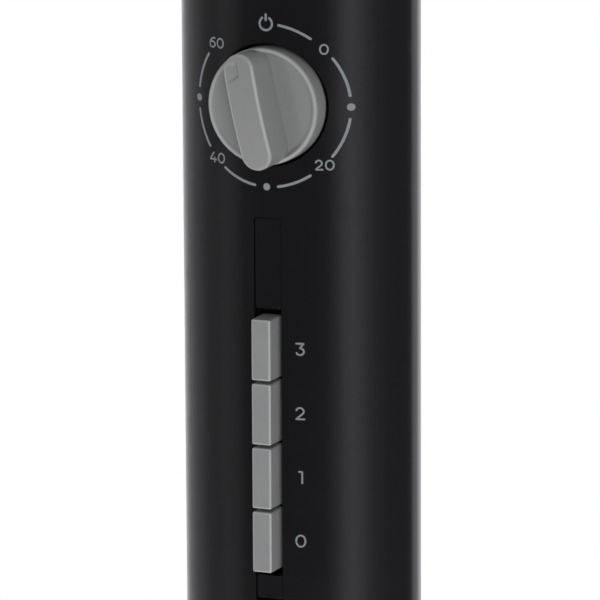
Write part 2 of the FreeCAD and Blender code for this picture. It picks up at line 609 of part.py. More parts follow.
# ---------------------------------------------------------------- air path
def inside_shells(z0, z1):
    return floor_limit().common(box(-FAR, FAR, -FAR, FAR, z0, z1))


def wire_hole(z0, z1):
    return rod_z(WIRE_RADIUS + WIRE_HOLE_GAP, z0, z1, WIRE_X, WIRE_Y)


def make_bulkhead(z, opening_radius):
    plate = inside_shells(z, z + BULKHEAD_THICKNESS)
    plate = plate.cut(rod_z(opening_radius, 0, FAR, ROTOR_X, ROTOR_Y))
    for x, screw_z_place in SHELL_SCREWS:
        plate = plate.cut(rod_y(BOSS_RADIUS + 1.6, -FAR, FAR, x, screw_z_place))
    return plate.cut(wire_hole(0, FAR))


def rotor_point(radius, degrees):
    turn = math.radians(degrees)
    return V(ROTOR_X + radius * math.cos(turn), ROTOR_Y + radius * math.sin(turn), 0)


def make_scroll():
    """The spiral wall that leads air round the impeller's left side to the outlet."""
    start = rotor_point(IMPELLER_RADIUS + SCROLL_START_GAP, 117)
    middle = rotor_point(IMPELLER_RADIUS + (SCROLL_START_GAP + SCROLL_END_GAP) / 2, 149)
    turn = rotor_point(IMPELLER_RADIUS + SCROLL_END_GAP, 181)
    mouth = V(-OUTLET_HALF_WIDTH + 1.0, -14.0, 0)
    sweep = Part.Arc(start, middle, turn).toShape()
    out = Part.LineSegment(turn, mouth).toShape()
    wall = Part.Wire([sweep, out]).makeOffset2D(SCROLL_THICKNESS, fill=True, openResult=True)
    solid = wall.extrude(V(0, 0, OUTLET_HEIGHT))
    solid.translate(V(0, 0, OUTLET_Z0))
    return solid.Solids[0]


def make_tongue():
    """The vortex tongue beside the impeller on its right."""
    nose = rotor_point(IMPELLER_RADIUS + 3.2, -12)
    mouth = V(OUTLET_HALF_WIDTH - 1.5, -14.0, 0)
    plan = Part.makePolygon([nose, V(nose.x + 6.5, nose.y + 4.0, 0), mouth + V(1.0, 0, 0),
                             mouth - V(1.6, 0, 0), nose])
    solid = Part.Face(plan).extrude(V(0, 0, OUTLET_HEIGHT))
    solid.translate(V(0, 0, OUTLET_Z0))
    return solid


def blade(z0, z1):
    """One forward-curved blade: an arc-shaped strip between the inner and the outer radius."""
    outer = V(IMPELLER_RADIUS, 0, z0)
    lean = math.radians(BLADE_LEAN * 0.4)
    inner = V(IMPELLER_INNER_RADIUS * math.cos(lean), -IMPELLER_INNER_RADIUS * math.sin(lean), z0)
    middle = (outer + inner) * 0.5
    across = V(outer.y - inner.y, inner.x - outer.x, 0).normalize()
    bow = (outer - inner).Length * 0.2
    thick = across * BLADE_THICKNESS
    front = Part.Arc(inner, middle + across * bow, outer).toShape()
    back = Part.Arc(outer + thick, middle + across * bow + thick, inner + thick).toShape()
    ends = [Part.makeLine(outer, outer + thick), Part.makeLine(inner + thick, inner)]
    face = Part.Face(Part.Wire([front, ends[0], back, ends[1]]))
    return face.extrude(V(0, 0, z1 - z0))


def make_impeller():
    """Sections of blades between discs, as separate mouldings that are welded end to end."""
    length = (IMPELLER_Z1 - IMPELLER_Z0) / IMPELLER_SECTIONS
    sections = []
    for i in range(IMPELLER_SECTIONS):
        z0 = IMPELLER_Z0 + i * length
        z1 = z0 + length
        ring = tube_z(IMPELLER_RADIUS, IMPELLER_INNER_RADIUS - 1.0, z0, z0 + DISC_THICKNESS)
        if i == 0:
            ring = rod_z(IMPELLER_RADIUS, z0, z0 + DISC_THICKNESS)
            ring = fuse(ring, rod_z(HUB_RADIUS, z0, z0 + HUB_LENGTH))
            ring = ring.cut(rod_z(SHAFT_RADIUS + SHAFT_CLEARANCE, 0, FAR))
        top = z1
        if i == IMPELLER_SECTIONS - 1:
            top = z1 - DISC_THICKNESS
            lid = rod_z(IMPELLER_RADIUS, top, z1)
            stub = rod_z(SHAFT_RADIUS, z1 - 0.1, UPPER_BULKHEAD_Z + BEARING_LENGTH + 1.0)
            lid = fuse(lid, stub)
        vanes = []
        for k in range(BLADE_COUNT):
            vane = blade(z0 + DISC_THICKNESS * 0.5, top + (0.1 if top < z1 else 0.0))
            vane.rotate(V(0, 0, 0), V(0, 0, 1), 360.0 * k / BLADE_COUNT + 3.0 * i)
            vanes.append(vane.common(rod_z(IMPELLER_RADIUS, 0, FAR)))
        section = fuse(ring, *vanes)
        if top < z1:
            section = fuse(section, lid)
        section.translate(V(ROTOR_X, ROTOR_Y, 0))
        sections.append(section)
    return sections


def make_bearing_parts():
    z0 = UPPER_BULKHEAD_Z
    rubber = tube_z(RUBBER_RADIUS, BEARING_RADIUS + 0.05, z0, z0 + BEARING_LENGTH, ROTOR_X, ROTOR_Y)
    bush = tube_z(BEARING_RADIUS, SHAFT_RADIUS + SHAFT_CLEARANCE, z0, z0 + BEARING_LENGTH, ROTOR_X, ROTOR_Y)
    return rubber, bush


def make_bearing_bracket():
    z0 = UPPER_BULKHEAD_Z
    socket = tube_z(RUBBER_RADIUS + 2.5, RUBBER_RADIUS + 0.05, z0, z0 + BEARING_LENGTH, ROTOR_X, ROTOR_Y)
    return fuse(make_bulkhead(z0, RUBBER_RADIUS + 0.05), socket)


# ---------------------------------------------------------------- motor
def motor_levels():
    """Heights of the motor's top, the top and bottom of its iron, and its own bottom."""
    top = MOTOR_TOP_Z
    end_space = MOTOR_CUP_WALL + WINDING_HEIGHT + WINDING_TO_CUP
    stack_top = top - end_space
    stack_bottom = stack_top - STATOR_LENGTH
    return top, stack_top, stack_bottom, stack_bottom - end_space


def make_motor_cup(z_open, z_closed):
    """A drawn steel half of the motor's case, with a bearing seat in its closed end."""
    low, high = sorted((z_open, z_closed))
    outer = STATOR_RADIUS + MOTOR_CUP_WALL
    cup = rod_z(outer, low, high, ROTOR_X, ROTOR_Y)
    if z_closed > z_open:
        hollow = rod_z(STATOR_RADIUS, low - 1, high - MOTOR_CUP_WALL, ROTOR_X, ROTOR_Y)
        seat = rod_z(8.0, high - MOTOR_CUP_WALL, high + 4.0, ROTOR_X, ROTOR_Y)
    else:
        hollow = rod_z(STATOR_RADIUS, low + MOTOR_CUP_WALL, high + 1, ROTOR_X, ROTOR_Y)
        seat = rod_z(8.0, low - 4.0, low + MOTOR_CUP_WALL, ROTOR_X, ROTOR_Y)
    cup = fuse(cup.cut(hollow), seat)
    return cup.cut(rod_z(6.05, 0, FAR, ROTOR_X, ROTOR_Y))


def motor_ear_places():
    return [(ROTOR_X + x, ROTOR_Y + y) for x, y in on_circle(MOTOR_EAR_CIRCLE, 3, -90.0)][:1] + [
        (ROTOR_X - MOTOR_EAR_CIRCLE, ROTOR_Y), (ROTOR_X + MOTOR_EAR_CIRCLE, ROTOR_Y)]


def make_upper_cup():
    top, stack_top, stack_bottom, bottom = motor_levels()
    cup = make_motor_cup((stack_top + stack_bottom) / 2, top)
    for x, y in motor_ear_places()[1:]:
        ear = rod_z(GROMMET_RADIUS + 2.0, top - MOTOR_CUP_WALL, top, x, y)
        bridge_x = sorted((x, ROTOR_X + (x - ROTOR_X) * 0.6))
        web = box(bridge_x[0], bridge_x[1], y - 5.0, y + 5.0, top - MOTOR_CUP_WALL, top)
        cup = fuse(cup, ear, web).cut(rod_z(GROMMET_RADIUS - 1.0, top - 5, top + 1, x, y))
    return cup.cut(rod_z(6.05, 0, FAR, ROTOR_X, ROTOR_Y))


def make_lower_cup():
    top, stack_top, stack_bottom, bottom = motor_levels()
    return make_motor_cup((stack_top + stack_bottom) / 2 - 0.2, bottom)


def make_motor_inside():
    top, stack_top, stack_bottom, bottom = motor_levels()
    stack = tube_z(STATOR_RADIUS - 0.05, STATOR_BORE, stack_bottom, stack_top, ROTOR_X, ROTOR_Y)
    outer, inner = STATOR_RADIUS - 2.5, STATOR_BORE + 2.0
    coils = [tube_z(outer, inner, stack_top, stack_top + WINDING_HEIGHT, ROTOR_X, ROTOR_Y),
             tube_z(outer, inner, stack_bottom - WINDING_HEIGHT, stack_bottom, ROTOR_X, ROTOR_Y)]
    coils = [coil.makeFillet(WINDING_ROUND, outer_circles(coil, (outer + inner) / 2)) for coil in coils]
    bearings = [tube_z(6.0, SHAFT_RADIUS + SHAFT_CLEARANCE, top - 5.0, top + 3.5, ROTOR_X, ROTOR_Y),
                tube_z(6.0, SHAFT_RADIUS + SHAFT_CLEARANCE, bottom - 3.5, bottom + 5.0, ROTOR_X, ROTOR_Y)]
    return stack, coils, bearings


def make_rotor_core():
    """The iron core that turns with the shaft."""
    top, stack_top, stack_bottom, bottom = motor_levels()
    outer, bore = STATOR_BORE - AIR_GAP, SHAFT_RADIUS + SHAFT_CLEARANCE
    return tube_z(outer, bore, stack_bottom, stack_top, ROTOR_X, ROTOR_Y)


def make_shaft():
    bottom = motor_levels()[3]
    return rod_z(SHAFT_RADIUS, bottom - 5.0, IMPELLER_Z0 + HUB_LENGTH - 0.5, ROTOR_X, ROTOR_Y)


def make_motor_mounts():
    """Rubber grommets under the bulkhead and the screws through them."""
    top = MOTOR_TOP_Z
    grommets, screws = [], []
    for x, y in motor_ear_places()[1:]:
        grommets.append(tube_z(GROMMET_RADIUS, SCREW_RADIUS + 0.1, top, LOWER_BULKHEAD_Z, x, y))
        length = LOWER_BULKHEAD_Z + BULKHEAD_THICKNESS - 0.3 - (top - MOTOR_CUP_WALL - 1.0)
        shank = rod_z(SCREW_RADIUS, top - MOTOR_CUP_WALL - 1.0, top - MOTOR_CUP_WALL - 1.0 + length, x, y)
        head = rod_z(GROMMET_RADIUS, top - MOTOR_CUP_WALL - 1.2, top - MOTOR_CUP_WALL, x, y)
        screws.append(fuse(shank, head))
    return grommets, screws


def make_lower_bulkhead():
    plate = make_bulkhead(LOWER_BULKHEAD_Z, HUB_RADIUS + 1.0)
    for x, y in motor_ear_places()[1:]:
        plate = plate.cut(rod_z(SCREW_RADIUS + 0.1, 0, FAR, x, y))
    return plate


def make_capacitor():
    body = box(-16.0, 16.0, -28.5, -20.0, COLUMN_FLOOR_Z, COLUMN_FLOOR_Z + 20.0)
    return body.makeFillet(1.5, upright_edges(body, V(0, 0, 1)))


# ---------------------------------------------------------------- controls
def stadium(half_width, reach, y):
    """A wire with straight sides and round ends, lying across Y at height y."""
    straight = reach - half_width
    corners = [V(half_width, y, -straight), V(half_width, y, straight),
               V(-half_width, y, straight), V(-half_width, y, -straight)]
    return Part.Wire([
        Part.makeLine(corners[0], corners[1]),
        Part.Arc(corners[1], V(0, y, reach), corners[2]).toShape(),
        Part.makeLine(corners[2], corners[3]),
        Part.Arc(corners[3], V(0, y, -reach), corners[0]).toShape(),
    ])


def make_knob():
    """The timer knob with its pointer upright, then turned to its rest angle."""
    back_y = FRONT_Y + KNOB_SUNK
    disc = rod_y(KNOB_RADIUS, KNOB_RIM_Y, back_y)
    front_rim = [e for e in outer_circles(disc, KNOB_RADIUS / 2) if e.CenterOfMass.y < KNOB_RIM_Y + 0.1]
    disc = disc.makeFillet(KNOB_RIM_ROUND, front_rim)
    edge = KNOB_RADIUS - 1.0
    sphere_radius = (edge ** 2 + KNOB_DISH ** 2) / (2 * KNOB_DISH)
    disc = disc.cut(Part.makeSphere(sphere_radius, V(0, KNOB_RIM_Y + KNOB_DISH - sphere_radius, 0)))
    top_y = KNOB_RIM_Y - KNOB_BAR_HEIGHT
    foot_y = KNOB_RIM_Y + KNOB_DISH + 0.2
    bar = Part.makeLoft([stadium(KNOB_BAR_BASE_HALF_WIDTH, KNOB_BAR_BASE_REACH, foot_y),
                         stadium(KNOB_BAR_HALF_WIDTH, KNOB_BAR_REACH, top_y)], True, True)
    top_rim = [e for e in bar.Edges if abs(e.CenterOfMass.y - top_y) < 0.01]
    bar = bar.makeFillet(KNOB_BAR_ROUND, top_rim)
    knob = fuse(disc, bar)
    inner_radius = KNOB_RADIUS - KNOB_WALL
    hollow = rod_y(inner_radius, KNOB_RIM_Y + KNOB_DISH + KNOB_WALL, back_y + 1)
    hub = rod_y(SHAFT_RADIUS + 3.0, KNOB_RIM_Y + KNOB_DISH, back_y)
    knob = fuse(knob.cut(hollow), hub)
    knob = knob.cut(rod_y(TIMER_SHAFT_RADIUS + SHAFT_CLEARANCE, KNOB_RIM_Y - 4.0, back_y + 1))
    knob = knob.cut(pointer_notch(top_y))
    knob.rotate(V(0, 0, 0), V(0, 1, 0), KNOB_REST_ANGLE)
    knob.translate(V(0, 0, KNOB_Z))
    return knob


def pointer_notch(top_y):
    """A wedge cut into the left half of the bar's upper end: nothing at the side, deepest at the middle line."""
    z0 = KNOB_BAR_REACH - POINTER_FROM_END - POINTER_LENGTH
    side = -KNOB_BAR_HALF_WIDTH
    corners = [V(0, top_y - 1, z0), V(0, top_y + POINTER_DEPTH, z0), V(side, top_y, z0), V(side, top_y - 1, z0)]
    outline = Part.makePolygon(corners + corners[:1])
    return Part.Face(outline).extrude(V(0, 0, POINTER_LENGTH))


def make_timer_shaft():
    return rod_y(TIMER_SHAFT_RADIUS, KNOB_RIM_Y - 3.5, KNOB_FLOOR_Y + WALL * 0.9 + 2.0, 0, KNOB_Z)


def make_timer_case():
    y0 = KNOB_FLOOR_Y + WALL * 0.9
    case = box(-TIMER_HALF_SIZE, TIMER_HALF_SIZE, y0, y0 + TIMER_DEPTH, KNOB_Z - TIMER_HALF_SIZE,
               KNOB_Z + TIMER_HALF_SIZE)
    case = case.makeFillet(3.0, upright_edges(case, V(0, 1, 0)))
    case = case.cut(rod_y(TIMER_SHAFT_RADIUS + SHAFT_CLEARANCE, y0 - 1, y0 + 2.5, 0, KNOB_Z))
    for side in (-1, 1):
        x = side * TIMER_SCREW_SPACING / 2
        case = case.cut(rod_y(SCREW_RADIUS + SCREW_SINK, y0 - 1, y0 + 6.0, x, KNOB_Z))
    back = y0 + TIMER_DEPTH
    tabs = [box(x - 3.0, x + 3.0, back - 0.1, back + 7.0, KNOB_Z - 12.4, KNOB_Z - 11.6)
            for x in (-10.0, 10.0)]
    return fuse(case, *tabs)


def make_timer_screws():
    screws = []
    for side in (-1, 1):
        x = side * TIMER_SCREW_SPACING / 2
        head = rod_y(2.6, KNOB_FLOOR_Y - TIMER_SCREW_HEAD, KNOB_FLOOR_Y, x, KNOB_Z)
        screws.append(fuse(head, rod_y(SCREW_RADIUS, KNOB_FLOOR_Y - 0.1, KNOB_FLOOR_Y + 7.0, x, KNOB_Z)))
    return screws


def rounded_frame(width, height, y, centre_z, corner):
    """A rectangle with round corners across Y, as a wire."""
    w, h = width / 2, height / 2
    bend = corner * (1 - math.sqrt(0.5))
    edges = []
    for sx, sz in ((1, -1), (1, 1), (-1, 1), (-1, -1)):
        if sx * sz < 0:
            a = V(sx * (w - corner), y, centre_z + sz * h)
            b = V(sx * w, y, centre_z + sz * (h - corner))
        else:
            a = V(sx * w, y, centre_z + sz * (h - corner))
            b = V(sx * (w - corner), y, centre_z + sz * h)
        mid = V(sx * (w - bend), y, centre_z + sz * (h - bend))
        edges.append((a, mid, b))
    wire = []
    for i, (a, mid, b) in enumerate(edges):
        wire.append(Part.Arc(a, mid, b).toShape())
        wire.append(Part.makeLine(b, edges[(i + 1) % 4][0]))
    return Part.Wire(wire)


def make_key(bottom_z):
    """A key cap with drafted sides, a flange that holds it behind the strip, and a stem."""
    centre = bottom_z + KEY_HEIGHT / 2
    front_y = FRONT_Y - KEY_PROUD
    cap = Part.makeLoft([rounded_frame(KEY_BASE_WIDTH, KEY_BASE_HEIGHT, KEY_FLANGE_Y + 0.1, centre, 0.9),
                         rounded_frame(KEY_WIDTH, KEY_HEIGHT, front_y, centre, 0.9)], True, True)
    cap = cap.makeFillet(KEY_EDGE, [e for e in cap.Edges if abs(e.CenterOfMass.y - front_y) < 0.01])
    flange = box(-KEY_FLANGE_WIDTH / 2, KEY_FLANGE_WIDTH / 2, KEY_FLANGE_Y, KEY_BACK_Y,
                 centre - KEY_BASE_HEIGHT / 2, centre + KEY_BASE_HEIGHT / 2)
    stem = box(-STEM_WIDTH / 2, STEM_WIDTH / 2, KEY_BACK_Y - 0.1, SWITCH_Y + STEM_REACH,
               centre - STEM_HEIGHT / 2, centre + STEM_HEIGHT / 2)
    return fuse(cap, flange, stem)


def key_centres():
    return [z + KEY_HEIGHT / 2 for z in KEY_BOTTOMS + [SWING_KEY_Z]]


def make_key_strip():
    """The strip behind the key slot: a plate with windows for the keys and raised plain stretches."""
    plate = box(-SWITCH_HALF_WIDTH, SWITCH_HALF_WIDTH, BEZEL_Y, BEZEL_Y + BEZEL_THICKNESS,
                STRIP_BOTTOM_Z - 3.0, STRIP_TOP_Z + 3.0)
    row_top = KEY_BOTTOMS[-1] + KEY_HEIGHT + KEY_ROW_GAP
    row_bottom = KEY_BOTTOMS[0] - KEY_ROW_GAP
    swing_top = SWING_KEY_Z + KEY_HEIGHT + KEY_ROW_GAP
    swing_bottom = SWING_KEY_Z - 0.8
    half = STRIP_HALF_WIDTH - FIT_GAP
    upper = rounded_box_y(half, row_top, STRIP_TOP_Z - FIT_GAP, -FAR, BEZEL_Y + 0.1, STRIP_CORNER - FIT_GAP)
    lower = rounded_box_y(half, swing_top, row_bottom, -FAR, BEZEL_Y + 0.1, 0.8)
    tiles = [t.common(front_half(STRIP_SUNK, STRIP_BOTTOM_Z, STRIP_TOP_Z)) for t in (upper, lower)]
    strip = fuse(plate, *tiles)
    window = KEY_BASE_WIDTH / 2 + KEY_WINDOW_GAP
    strip = strip.cut(box(-window, window, -FAR, FAR, row_bottom, row_top))
    strip = strip.cut(box(-window, window, -FAR, FAR, swing_bottom, swing_top))
    rails = []
    for z0, z1 in (switch_span(), swing_switch_span()):
        for side in (-1, 1):
            outer = side * SWITCH_HALF_WIDTH
            x0, x1 = sorted((outer, outer - side * SWITCH_WALL))
            rails.append(box(x0, x1, BEZEL_Y + 0.5, SWITCH_Y, z0, z1))
    return fuse(strip, *rails)


def make_switch_case(z0, z1, centres):
    """An open-backed switch case with a window for each stem."""
    case = box(-SWITCH_HALF_WIDTH, SWITCH_HALF_WIDTH, SWITCH_Y, SWITCH_BACK_Y, z0, z1)
    hollow = box(-SWITCH_HALF_WIDTH + SWITCH_WALL, SWITCH_HALF_WIDTH - SWITCH_WALL, SWITCH_Y + SWITCH_WALL,
                 SWITCH_BACK_Y + 1, z0 + SWITCH_WALL, z1 - SWITCH_WALL)
    case = case.cut(hollow)
    for z in centres:
        case = case.cut(box(-STEM_WIDTH / 2 - STEM_CLEARANCE, STEM_WIDTH / 2 + STEM_CLEARANCE, SWITCH_Y - 1,
                            SWITCH_Y + SWITCH_WALL + 1, z - STEM_HEIGHT / 2 - STEM_CLEARANCE,
                            z + STEM_HEIGHT / 2 + STEM_CLEARANCE))
    return case


def switch_span():
    centres = key_centres()[:KEY_COUNT]
    return centres[0] - 13.0, centres[-1] + 13.0


def swing_switch_span():
    centre = key_centres()[-1]
    return centre - 11.0, centre + 11.0


def make_switch_cover(z0, z1):
    return box(-SWITCH_HALF_WIDTH, SWITCH_HALF_WIDTH, SWITCH_BACK_Y, SWITCH_BACK_Y + SWITCH_WALL, z0, z1)


def make_terminals():
    """Spade terminals that stand out of the switch covers."""
    half_width, half_thickness = 3.15, 0.4
    y0 = SWITCH_BACK_Y + SWITCH_WALL
    y1 = y0 + TERMINAL_LENGTH
    return [box(-half_width, half_width, y0, y1, z - half_thickness, z + half_thickness) for z in key_centres()]


def make_latch_bar():
    z0, z1 = switch_span()
    x = STEM_WIDTH / 2 + LATCH_GAP
    y = SWITCH_Y + SWITCH_WALL + LATCH_GAP
    return box(x, x + LATCH_THICKNESS, y, y + LATCH_WIDTH, z0 + SWITCH_WALL + 0.3 + LATCH_TRAVEL,
               z1 - SWITCH_WALL - 0.3 - LATCH_TRAVEL)


def make_spring(z):
    """A closed coil spring along Y between a stem's end and the switch cover."""
    y0 = SWITCH_Y + STEM_REACH + 0.1
    length = SWITCH_BACK_Y - 0.1 - y0 - SPRING_WIRE
    pitch = length / SPRING_TURNS
    helix = Part.makeHelix(pitch, length, SPRING_RADIUS)
    profile = Part.Wire([Part.Circle(V(SPRING_RADIUS, 0, 0), V(0, 1, 0), SPRING_WIRE / 2).toShape()])
    spring = Part.Wire(helix.Edges).makePipeShell([profile], True, True)
    spring.rotate(V(0, 0, 0), V(1, 0, 0), -90.0)
    spring.translate(V(0, y0 + SPRING_WIRE / 2, z))
    return spring


def make_wire():
    """The bundle from the motor bay up the left of the air duct to the switches."""
    points = [V(WIRE_X, WIRE_Y, LOWER_BULKHEAD_Z - 30.0), V(WIRE_X, WIRE_Y, UPPER_BULKHEAD_Z + 40.0),
              V(-20.0, 18.0, UPPER_BULKHEAD_Z + 75.0), V(-16.0, 16.0, UPPER_BULKHEAD_Z + 140.0)]
    return bent_tube(points, WIRE_RADIUS)


def bent_tube(points, radius):
    """A round tube along straight runs that tangent arcs join."""
    edges, at = [], points[0]
    for before, corner, after in zip(points, points[1:], points[2:]):
        into, away = (corner - before), (after - corner)
        turn = into.getAngle(away)
        reach = 0.45 * min(into.Length, away.Length)
        a = corner - into.normalize() * reach
        b = corner + away.normalize() * reach
        bend = reach / math.tan(turn / 2)
        toward = ((a + b) * 0.5 - corner).normalize()
        middle = corner + toward * (math.hypot(bend, reach) - bend) if turn else corner
        edges += [Part.makeLine(at, a), Part.Arc(a, middle, b).toShape()]
        at = b
    edges.append(Part.makeLine(at, points[-1]))
    start = points[0]
    along = (points[1] - start).normalize()
    profile = Part.Wire([Part.Circle(start, along, radius).toShape()])
    return Part.Wire(edges).makePipeShell([profile], True, True)


# ---------------------------------------------------------------- write every piece
def write_base():
    save("base_shell", make_base_shell())
    save("base_plate", make_base_plate())
    save("rubber_feet", *make_feet())
    save("base_screws", *make_base_screws())
    save("ballast_plate", make_ballast())
    save("swing_motor", make_swing_motor())
    save("swing_motor_screws", *make_swing_motor_screws())
    save("cord_gland", make_cord_gland())
    save("terminal_block", make_terminal_block())
    save("slip_ring", make_slip_ring())


def write_drive():
    save("swing_crank", make_crank())
    save("crank_roller", make_roller())
    save("driver_arm", make_driver_arm())
    save("driver_arm_screws", *make_driver_screws())
    save("column_foot", make_column_foot())


def write_column():
    save("front_shell", make_front_shell())
    save("rear_shell", make_rear_shell())
    save("shell_screws", *make_shell_screws())
    save("outlet_grille", make_grille(FRONT_DEPTH, -1))
    save("inlet_grille", make_grille(REAR_DEPTH, 1))
    save("top_cap", make_top_cap())
    save("handle_cup", make_handle_cup())
    save("scroll_wall", make_scroll())
    save("vortex_tongue", make_tongue())
    save("lower_bulkhead", make_lower_bulkhead())
    save("upper_bulkhead", make_bearing_bracket())
    rubber, bush = make_bearing_parts()
    save("bearing_rubber", rubber)
    save("bearing_bush", bush)
    save("wire_bundle", make_wire())


def write_motor():
    stack, coils, bearings = make_motor_inside()
    save("motor_stator", stack)
    save("motor_windings", *coils)
    save("motor_bearings", *bearings)
    save("motor_upper_cup", make_upper_cup())
    save("motor_lower_cup", make_lower_cup())
    grommets, screws = make_motor_mounts()
    save("motor_grommets", *grommets)
    save("motor_screws", *screws)
    save("capacitor", make_capacitor())
    save("motor_rotor", make_rotor_core())
    save("motor_shaft", make_shaft())
    save("impeller", *make_impeller())


def write_controls():
    save("timer_knob", make_knob())
    save("timer_shaft", make_timer_shaft())
    save("timer_case", make_timer_case())
    save("timer_screws", *make_timer_screws())
    for name, z in zip(KEY_NAMES, KEY_BOTTOMS):
        save(name, make_key(z))
    save("key_swing", make_key(SWING_KEY_Z))
    save("key_strip", make_key_strip())
    z0, z1 = switch_span()
    w0, w1 = swing_switch_span()
    save("switch_case", make_switch_case(z0, z1, key_centres()[:KEY_COUNT]))
    save("swing_switch_case", make_switch_case(w0, w1, key_centres()[KEY_COUNT:]))
    save("switch_covers", make_switch_cover(z0, z1), make_switch_cover(w0, w1))
    save("switch_terminals", *make_terminals())
    save("latch_bar", make_latch_bar())
    for name, z in zip(KEY_NAMES + ["key_swing"], key_centres()):
        save(name + "_spring", make_spring(z))


os.makedirs("parts", exist_ok=True)
write_base()
write_drive()
write_column()
write_motor()
write_controls()
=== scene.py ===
# %% [markdown]
# # A slim tower fan
# The real fan is a tall oval column of glossy black plastic on a round foot. What people touch is the upper
# front: a grey timer knob in a round pocket, and a row of narrow piano keys below it. The construction is already
# there as exact parts. This lesson gives every part its finish, and remakes the pieces whose rounded edges and
# soft shapes the eye rests on: the knob, the keys and the printed scale.

# %% Load the construction
import json
import math

import bmesh
import bpy
import numpy as np
from mathutils import Matrix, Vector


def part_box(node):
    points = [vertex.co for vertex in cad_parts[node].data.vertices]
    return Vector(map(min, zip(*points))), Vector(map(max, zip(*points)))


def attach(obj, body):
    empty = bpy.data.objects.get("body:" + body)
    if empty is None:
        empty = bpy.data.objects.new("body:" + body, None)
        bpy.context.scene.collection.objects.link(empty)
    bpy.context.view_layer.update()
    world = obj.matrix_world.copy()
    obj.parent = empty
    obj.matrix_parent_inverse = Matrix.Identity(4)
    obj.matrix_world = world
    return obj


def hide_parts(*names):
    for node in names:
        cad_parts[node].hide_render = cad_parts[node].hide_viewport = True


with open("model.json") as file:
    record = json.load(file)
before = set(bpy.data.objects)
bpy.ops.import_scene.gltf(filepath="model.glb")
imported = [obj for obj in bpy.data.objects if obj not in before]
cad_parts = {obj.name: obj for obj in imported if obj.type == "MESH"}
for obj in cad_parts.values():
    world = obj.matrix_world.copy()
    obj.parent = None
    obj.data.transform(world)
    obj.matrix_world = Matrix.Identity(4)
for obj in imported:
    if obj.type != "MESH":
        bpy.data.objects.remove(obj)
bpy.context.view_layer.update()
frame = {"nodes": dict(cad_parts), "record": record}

MM = 0.001

# %% [markdown]
# ## Places taken from the construction
# Nothing is placed by eye. The knob's centre is the axis of its joint, the column's oval comes from the front
# shell's box, and each key's size comes from its own box. A value used by several pieces is kept here.

# %% Measure the column, the knob and the keys
joints = {joint["name"]: joint for joint in frame["record"]["behaviour"]["joints"]}
KNOB = np.array(joints["timer_turn"]["pos_m"], dtype=float)
shell_low, shell_high = (np.array(corner, dtype=float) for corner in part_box("front_shell"))
HALF_WIDTH = shell_high[0]
FRONT_DEPTH = -shell_low[1]
rear_low, rear_high = (np.array(corner, dtype=float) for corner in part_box("rear_shell"))
SPEED_KEYS = ["key_3", "key_2", "key_1", "key_0"]
ALL_KEYS = SPEED_KEYS + ["key_swing"]
print("column oval, mm:", round(HALF_WIDTH / MM, 2), round(FRONT_DEPTH / MM, 2))


def front_y(x, depth=FRONT_DEPTH, half_width=HALF_WIDTH):
    """The column's front surface: y is minus the depth times the root of one less the square of x over half width."""
    return -depth * np.sqrt(np.clip(1.0 - (x / half_width) ** 2, 0.0, 1.0))


# %% [markdown]
# ## The camera
# A long lens from two metres away keeps the column's sides almost parallel, as a catalogue close-up does. The
# camera stands to the right of the controls and looks slightly down on them.

# %% Set the camera
CAMERA_AZIMUTH = math.radians(23.04)
CAMERA_ELEVATION = math.radians(11.815)
CAMERA_ROLL = math.radians(-0.288)
CAMERA_FROM_KNOB = np.array([816.1, -1886.1, 352.0]) * MM
LENS_MM = 319.4


def camera_axes(azimuth, elevation, roll):
    """Right, up and back vectors of a camera that stands at an azimuth and elevation and is rolled about its axis."""
    back = np.array([math.sin(azimuth) * math.cos(elevation), -math.cos(azimuth) * math.cos(elevation),
                     math.sin(elevation)])
    right = np.cross(-back, [0.0, 0.0, 1.0])
    right /= np.linalg.norm(right)
    up = np.cross(right, -back)
    return right * math.cos(roll) + up * math.sin(roll), up * math.cos(roll) - right * math.sin(roll), back


camera = bpy.data.objects.new("camera", bpy.data.cameras.new("camera"))
camera.data.lens = LENS_MM
camera.data.clip_end = 50.0
right, up, back = camera_axes(CAMERA_AZIMUTH, CAMERA_ELEVATION, CAMERA_ROLL)
place = Matrix(np.column_stack([right, up, back]).tolist()).to_4x4()
place.translation = KNOB + CAMERA_FROM_KNOB
camera.matrix_world = place
bpy.context.scene.collection.objects.link(camera)
bpy.context.scene.camera = camera
bpy.context.scene.view_settings.view_transform = "Standard"

# %% [markdown]
# ## Tools for surfaces
# Each new piece is a surface worked out as a whole array: a grid of points, one row per step along the piece and
# one column per step round it. One helper turns such a grid into a mesh. Another makes a smooth-shaded stand-in of
# a construction part, because that part's own mesh is loose triangles with no shared corners to shade across.


# %% Turn a grid of points into a mesh piece
def new_piece(name, vertices, faces, smooth=True):
    """A mesh object at the origin from arrays of corners and faces."""
    mesh = bpy.data.meshes.new(name)
    mesh.from_pydata(np.asarray(vertices, dtype=float).tolist(), [], np.asarray(faces).tolist())
    mesh.update()
    if smooth:
        mesh.shade_smooth()
    piece = bpy.data.objects.new(name, mesh)
    bpy.context.scene.collection.objects.link(piece)
    return piece


def grid_faces(rows, columns, closed):
    """Quads between neighbouring grid points; a closed grid joins its last column to its first."""
    r, c = np.meshgrid(np.arange(rows - 1), np.arange(columns if closed else columns - 1), indexing="ij")
    right_column = (c + 1) % columns
    quads = np.stack([r * columns + c, r * columns + right_column, (r + 1) * columns + right_column,
                      (r + 1) * columns + c], axis=-1)
    return quads.reshape(-1, 4)


def tidy_normals(piece, flip=False):
    """Merge doubled corners at seams and poles and turn every face outwards."""
    work = bmesh.new()
    work.from_mesh(piece.data)
    bmesh.ops.remove_doubles(work, verts=work.verts, dist=0.002 * MM)
    bmesh.ops.dissolve_degenerate(work, edges=work.edges, dist=0.001 * MM)
    bmesh.ops.recalc_face_normals(work, faces=work.faces)
    if flip:
        bmesh.ops.reverse_faces(work, faces=work.faces)
    work.to_mesh(piece.data)
    work.free()
    return piece


